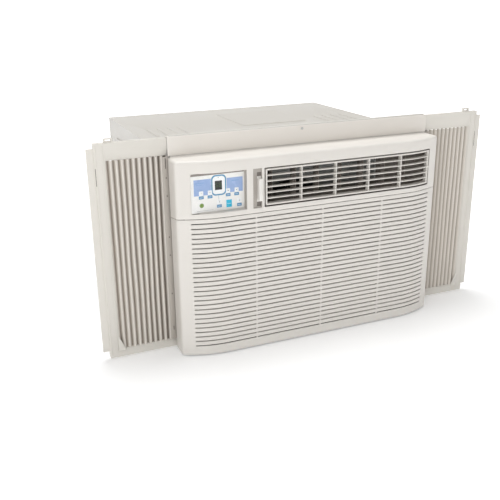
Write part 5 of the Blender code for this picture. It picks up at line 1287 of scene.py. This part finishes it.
film_print = Finish("film_print", (0.80, 0.79, 0.76), 0.28, Specular_IOR_Level=0.5, Coat_Weight=0.3,
                    Coat_Roughness=0.15)
film_marker = FaceMarks(film_print)
colour = film_print.mix(film_print.noise(0.03), (0.795, 0.790, 0.765), (0.825, 0.820, 0.800))
band_blue = film_print.mix(film_print.noise(0.012, 2.0), (0.250, 0.365, 0.620), (0.330, 0.450, 0.700))
keys = {name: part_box(name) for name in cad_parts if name.startswith("button_")}
key_middle = {name: (low + high) / 2 for name, (low, high) in keys.items()}
display_low, display_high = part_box("display_window")
display_middle = (display_low + display_high) / 2
film_patches = [
    (film_marker.patch(-0.2994, -0.2600, 0.3802, 0.4157), band_blue),
    (film_marker.patch(-0.2240, -0.1864, 0.3807, 0.4134), band_blue),
    (film_marker.patch(-0.2595, -0.2249, 0.3768, 0.4224, 0.010), (0.085, 0.270, 0.440)),
    (film_marker.patch(-0.2564, -0.2280, 0.3799, 0.4193, 0.0076), (0.84, 0.86, 0.86)),
    (film_marker.patch(display_middle.x - 0.0003, display_middle.x + 0.0003, 0.3665, 0.3768), (0.080, 0.230, 0.400)),
    (film_marker.patch(display_middle.x - 0.0008, display_middle.x + 0.0008, 0.4155, 0.4170, 0.0007), (0.03, 0.05, 0.08)),
]
for middle in key_middle.values():
    x, z = middle.x, middle.z
    base = z - 0.0085
    film_patches += [
        (film_marker.patch(x - 0.0048, x + 0.0048, z - 0.0046, z + 0.0050, 0.0016), (0.86, 0.88, 0.90)),
        (film_marker.patch(x - 0.0056, x + 0.0056, base - 0.0042, base + 0.0026), (0.075, 0.240, 0.430)),
        (film_marker.patch(x - 0.0040, x + 0.0036, base - 0.0016, base - 0.0004), (0.50, 0.64, 0.78)),
    ]
line_blue = (0.13, 0.30, 0.56)
film_patches += [
    (film_marker.patch(-0.2940, -0.2760, 0.4075, 0.4083), line_blue),
    (film_marker.patch(-0.2940, -0.2800, 0.4035, 0.4041), line_blue),
    (film_marker.patch(-0.2130, -0.1950, 0.4060, 0.4068), line_blue),
    (film_marker.patch(-0.2876, -0.2776, 0.3530, 0.3630, 0.005), (0.130, 0.230, 0.035)),
    (film_marker.outline(-0.2860, -0.2792, 0.3546, 0.3614, 0.0034, 0.0006), (0.330, 0.450, 0.130)),
    (film_marker.patch(-0.2258, -0.2126, 0.3475, 0.3645, 0.0004), (0.012, 0.450, 0.680)),
    (film_marker.patch(-0.2240, -0.2144, 0.3555, 0.3562), (0.60, 0.85, 0.92)),
    (film_marker.patch(-0.2940, -0.2560, 0.3458, 0.3464), (0.30, 0.32, 0.34)),
    # A dark band along the film's top edge is painted shade under the recess's top wall, not print.
    (film_marker.patch(-0.3070, -0.1820, 0.4236, 0.4310), (0.24, 0.215, 0.195)),
]
for share, tint in film_patches:
    colour = film_print.mix(share, colour, tint)
film_print.set("Base Color", colour)
film_print.set("Roughness", film_print.noise(0.020, 3.0) * 0.10 + 0.22)
film_print.bump(film_print.noise(0.0012, 1.0), 0.00001)
fitted(film, film_print.material, "cabinet", "front_plastic")

# The display is a tinted window over two seven-bar figures.
tinted = Finish("tinted_window", (0.006, 0.010, 0.007), 0.09, Specular_IOR_Level=0.6)
figure = FaceMarks(tinted, 0.0001)
bars = {
    "top": (-1, 1, 2), "middle": (-1, 1, 0), "bottom": (-1, 1, -2),
    "upper_left": (-1, -1, 1), "upper_right": (1, 1, 1), "lower_left": (-1, -1, -1), "lower_right": (1, 1, -1),
}
six = ("top", "middle", "bottom", "upper_left", "lower_left", "lower_right")
eight = tuple(bars)
bar_half, bar_thick, bar_tall = 0.0021, 0.00038, 0.0021
lit = None
for middle_x, shown in ((display_middle.x - 0.0036, six), (display_middle.x + 0.0036, eight)):
    for bar in shown:
        left, right, level = bars[bar]
        z = display_middle.z + 0.0006 + level * bar_tall
        if left != right:
            mark = figure.patch(middle_x - bar_half + 0.0004, middle_x + bar_half - 0.0004,
                                z - bar_thick, z + bar_thick)
        else:
            x = middle_x + left * bar_half
            mark = figure.patch(x - bar_thick, x + bar_thick, z - bar_tall + 0.0005, z + bar_tall - 0.0005)
        lit = mark if lit is None else lit.most(mark)
glow = tinted.mix(lit, (0.0, 0.0, 0.0), (0.050, 0.110, 0.020))
tinted.set("Emission Color", glow)
tinted.set("Emission Strength", 1.0)
tinted.set("Roughness", tinted.noise(0.01, 2.0) * 0.08 + 0.06)
dressed("display_window", "display_glass", tinted.material, "cabinet", "display_glass", edge=0.0004)

# Each key is a rounded silicone-coated cap with a small printed sign in its own ring.
for name, middle in key_middle.items():
    low, high = keys[name]
    radius = (high.x - low.x) / 2
    cap = rod(name.replace("button_", "key_cap_"), 40, radius, high.y - low.y, middle, (math.pi / 2, 0, 0))
    rounded(cap, 0.0006, 3, lambda spot, along: spot.y < low.y + 1e-5)
    pick(cap, "FACE", lambda spot, normal: normal.y < -0.99)
    bpy.ops.mesh.inset(thickness=0.0009, depth=0.0)
    bpy.ops.mesh.inset(thickness=0.0012, depth=-0.00022)
    closed()
    key_look = Finish(name + "_look", (0.80, 0.82, 0.82), 0.45, Specular_IOR_Level=0.4)
    sign = FaceMarks(key_look, 0.0001)
    x, z = middle.x, middle.z
    if name in ("button_temp_down", "button_temp_up"):
        marks = [sign.patch(x - 0.0011, x + 0.0011, z - 0.0003, z + 0.0003)]
        if name == "button_temp_up":
            marks.append(sign.patch(x - 0.0003, x + 0.0003, z - 0.0011, z + 0.0011))
    elif name == "button_power":
        marks = [sign.outline(x - 0.0011, x + 0.0011, z - 0.0011, z + 0.0011, 0.0011, 0.0004),
                 sign.patch(x - 0.0002, x + 0.0002, z + 0.0002, z + 0.0014)]
    else:
        marks = [sign.patch(x - 0.0009, x + 0.0009, z - 0.0009, z + 0.0009, 0.0008)]
    shown = marks[0]
    for mark in marks[1:]:
        shown = shown.most(mark)
    worn = key_look.noise(0.004, 2.0)
    face = key_look.mix(worn, (0.78, 0.80, 0.80), (0.84, 0.86, 0.86))
    key_look.set("Base Color", key_look.mix(shown, face, (0.035, 0.055, 0.080)))
    key_look.set("Roughness", worn * 0.12 + 0.38)
    key_look.bump(key_look.noise(0.0004, 1.0), 0.00001)
    fitted(cap, key_look.material, name.replace("button_", "key_"), "key_plastic", name)


# ---------------------------------------------------------------- vent lattice
# The tilting outlet grille is one light moulding: a rim, five thin slats and four dividers, all bent back
# with the front at its right end. It turns on two trunnions in the sides of the duct.

def swept(name, x_stops, z_low, z_high, depth, inset, round_front, round_back=0.0):
    """A bar drawn across the front through each stop, following the curve of the face."""
    start = x_stops[0]
    y = front_y(start) + inset
    bar = block(name, (start, y, z_low), (start + 0.0002, y + depth, z_high))
    rounded(bar, round_front, 3, lambda middle, along: abs(along.x) > 0.9 and middle.y < y + depth / 2)
    if round_back:
        rounded(bar, round_back, 2, lambda middle, along: abs(along.x) > 0.9 and middle.y > y + depth * 0.9)
    pick(bar, "FACE", lambda middle, normal: normal.x > 0.9)
    before = start + 0.0002
    y_before = y
    for stop in x_stops[1:]:
        y_here = front_y(stop) + inset
        bpy.ops.mesh.extrude_region_move(TRANSFORM_OT_translate={"value": (stop - before, y_here - y_before, 0)})
        before, y_before = stop, y_here
    closed()
    return bar


def curved_stops(x0, x1, step=0.009):
    """Places across the front, close together where it curves."""
    stops = {x0, x1}
    for side in (-1, 1):
        edge = side * flat_half
        if x0 < edge < x1:
            stops.add(edge)
        places = {side * (flat_half + k * step) for k in range(1, int(0.110 / step))}
        stops |= {place for place in places if x0 < place < x1}
    return sorted(stops)


lattice_low, lattice_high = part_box("vent_lattice")
lattice_x = (vent_x[0] + 0.0035, vent_x[1] - 0.0035)
lattice_z = (lattice_low.z, lattice_high.z)
lattice_depth = 0.0135
rim = 0.0040
slat = 0.0027
slat_rows = 6
face_inset = 0.0010
stops = curved_stops(*lattice_x)
lattice = [
    swept("lattice", stops, z, z + rim, lattice_depth, face_inset, 0.0014)
    for z in (lattice_z[1] - rim, lattice_z[0])
]
gap = (lattice_z[1] - lattice_z[0] - 2 * rim - (slat_rows - 1) * slat) / slat_rows
slat_z = lattice_z[0] + rim + gap
first = swept("lattice", stops, slat_z, slat_z + slat, 0.011, face_inset + 0.0004, 0.0011, 0.0008)
lattice += repeated(first, [(0, 0, k * (gap + slat)) for k in range(1, slat_rows - 1)])
divider_count = 5
divider_half = 0.0013
column = (lattice_x[1] - lattice_x[0]) / divider_count
places = [lattice_x[0] + rim / 2, *(lattice_x[0] + k * column for k in range(1, divider_count)), lattice_x[1] - rim / 2]
for k, x in enumerate(places):
    half = rim / 2 if k in (0, divider_count) else divider_half
    x += 0.0020 if 0 < k < divider_count else 0.0
    y = front_y(x) + face_inset + (0.0 if k in (0, divider_count) else 0.0012)
    post = block("lattice", (x - half, y, lattice_z[0] + 0.001),
                 (x + half, y + lattice_depth - 0.0014, lattice_z[1] - 0.001))
    rounded(post, half * 0.75, 3, lambda middle, along: abs(along.z) > 0.9 and middle.y < y + 0.002)
    lattice.append(post)
trunnion_y = window_y - 0.062
for x0, x1 in ((lattice_low.x, lattice_x[0] + 0.002), (lattice_x[1] - 0.002, lattice_high.x)):
    middle = ((x0 + x1) / 2, trunnion_y, (lattice_z[0] + lattice_z[1]) / 2)
    lattice.append(rounded(rod("lattice", 20, 0.0024, x1 - x0, middle, (0, math.pi / 2, 0)), 0.0004, 2))
fitted(joined("vent_louvre_grille", lattice), front_white, "lattice", "front_plastic", "vent_lattice")


# ---------------------------------------------------------------- vanes and link
# Seven upright vanes steer the air sideways. They are dark flexible polypropylene, each with a pivot pin at
# both ends and a crank that a single link bar joins, so that all seven turn together.

vane_grey = moulded("vane_grey", (0.300, 0.262, 0.232), 0.36, 0.0009)
for node in sorted(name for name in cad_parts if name.startswith("vane_")):
    if node == "vane_link":
        name, body = "vane_link_bar", "link_bar"
    else:
        name, body = node + "_blade", node.replace("vane_", "vertical_vane_")
    dressed(node, name, vane_grey, body, "dark_plastic", edge=0.0003)


# ---------------------------------------------------------------- intake grille
# The lower front is a second moulding that tips forward to free the filter. Rows of slanted bars run
# across it between three flush ribs, and its ends, top and bottom are plain wall.

grille_sweep = 0.3170
grille_low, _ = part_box("intake_grille")
slot_half = 0.311
slot_left = 0.308
slot_pitch = 0.01127
slot_height = 0.0023
slot_count = 27
top_slot = 0.3175
bottom_slot = top_slot - (slot_count - 1) * slot_pitch
grille_edge_z = 0.3215
skin = front_skin("grille_front", grille_low.z, grille_edge_z, skin_back_y)
bpy.ops.object.mode_set(mode="EDIT")
faced_out()
divided(skin, [(0, -slot_left), (0, slot_half), (2, bottom_slot), (2, top_slot + slot_height), (2, 0.300)])
opened(skin, (-slot_left, slot_half), (bottom_slot, top_slot + slot_height), window_y - 0.040)
tipping_edge(skin, grille_edge_z, grille_sweep)
modified(skin, "SOLIDIFY", thickness=wall, offset=-1.0, use_even_offset=True)
softened(skin, 0.0008, 3, 50)

bar_z = bottom_slot + slot_height
bar_height = slot_pitch - slot_height
bar_stops = curved_stops(-slot_left - 0.001, slot_half + 0.001)
bar = swept("grille_front", bar_stops, bar_z, bar_z + bar_height, 0.0044, 0.0, 0.0011, 0.0012)
grille = [skin] + repeated(bar, [(0, 0, k * slot_pitch) for k in range(1, slot_count - 1)])
hinge_x = 0.225
rib_half = 0.0018
for x in (-0.160, 0.008, 0.168):
    rib = block("grille_front", (x - rib_half, front_plane + 0.00015, bottom_slot - 0.001),
                (x + rib_half, front_plane + 0.0042, top_slot + slot_height + 0.001))
    grille.append(rounded(rib, 0.0005, 2, lambda middle, along: abs(along.z) > 0.9))
for side in (-1, 1):
    x = side * hinge_x
    lug = block("grille_front", (x - 0.003, front_y(x) + wall - 0.0012, hinge_z - 0.006),
                (x + 0.003, hinge_y + 0.0035, hinge_z + 0.004))
    pin = rod("grille_front", 20, 0.0022, 0.024, (x, hinge_y, hinge_z), (0, math.pi / 2, 0))
    grille += [rounded(lug, 0.0008, 2), rounded(pin, 0.0004, 2)]
fitted(joined("grille_front", grille), front_white, "grille", "front_plastic", "intake_grille", angle=30.0)


# ---------------------------------------------------------------- studio
# A plain pale paper floor, turned up on all four sides, under soft light: a small box at the front left
# and a large one overhead, with an even white surround.

paper_size, paper_rise = 80.0, 4.5
alone()
bpy.ops.mesh.primitive_plane_add(size=paper_size, location=(0.0, 10.0, -0.0004))
floor = settled("studio_floor")
pick(floor, "EDGE", lambda middle, along: True)
bpy.ops.mesh.extrude_edges_move(TRANSFORM_OT_translate={"value": (0, 0, paper_rise)})
closed()
pale = Finish("studio_paper", (0.90, 0.90, 0.90), 0.9, Emission_Strength=1.0)
# The paper glows less close to the unit, so that the unit's own shadow lies on it.
reach = pale.node("ShaderNodeVectorMath", {"operation": "LENGTH"}, {0: pale.place}, "Value")
nearby = reach.below(1.7, 1.3)
pale.set("Emission Color", pale.mix(nearby, (0.92, 0.92, 0.92), (0.22, 0.22, 0.22)))
floor.data.materials.append(pale.material)

surround = bpy.data.worlds.new("studio_surround")
surround.use_nodes = True
# The air above the paper is white to the eye but lights the unit only weakly.
sky = surround.node_tree
sky.nodes["Background"].inputs["Color"].default_value = (1.0, 1.0, 1.0, 1.0)
rays = sky.nodes.new("ShaderNodeLightPath")
glow = sky.nodes.new("ShaderNodeMapRange")
glow.inputs["To Min"].default_value = 0.30
glow.inputs["To Max"].default_value = 1.0
sky.links.new(rays.outputs["Is Camera Ray"], glow.inputs["Value"])
sky.links.new(glow.outputs["Result"], sky.nodes["Background"].inputs["Strength"])
scene = bpy.context.scene
scene.world = surround
scene.view_settings.view_transform = "Standard"


def softbox(name, location, target, size, power):
    """A square soft light turned towards its target."""
    light = bpy.data.lights.new(name, "AREA")
    light.shape = "SQUARE"
    light.size = size
    light.energy = power
    lamp = bpy.data.objects.new(name, light)
    lamp.location = location
    lamp.rotation_mode = "QUATERNION"
    lamp.rotation_quaternion = (Vector(target) - Vector(location)).to_track_quat("-Z", "Y")
    bpy.context.collection.objects.link(lamp)


softbox("key_box", (-1.45, -1.95, 1.2), (-0.1, -0.2, 0.2), 0.9, 10.5)
softbox("top_box", (0.0, 0.3, 3.2), (0.0, 0.0, 0.2), 1.8, 80.0)

camera_data = bpy.data.cameras.new("studio_camera")
camera_data.lens = 50.9
camera_data.sensor_width = 36.0
camera = bpy.data.objects.new("studio_camera", camera_data)
yaw, pitch, roll = math.radians(22.86), math.radians(19.72), math.radians(-0.67)
forward = Vector((math.sin(yaw) * math.cos(pitch), math.cos(yaw) * math.cos(pitch), -math.sin(pitch)))
across = Vector((math.cos(yaw), -math.sin(yaw), 0.0))
upward = across.cross(forward)
side_axis = across * math.cos(roll) + upward * math.sin(roll)
up_axis = upward * math.cos(roll) - across * math.sin(roll)
facing = Matrix((side_axis, up_axis, -forward)).transposed()
camera.location = (-0.7579, -1.7066, 0.7816)
camera.rotation_euler = facing.to_euler()
bpy.context.collection.objects.link(camera)
scene.camera = camera
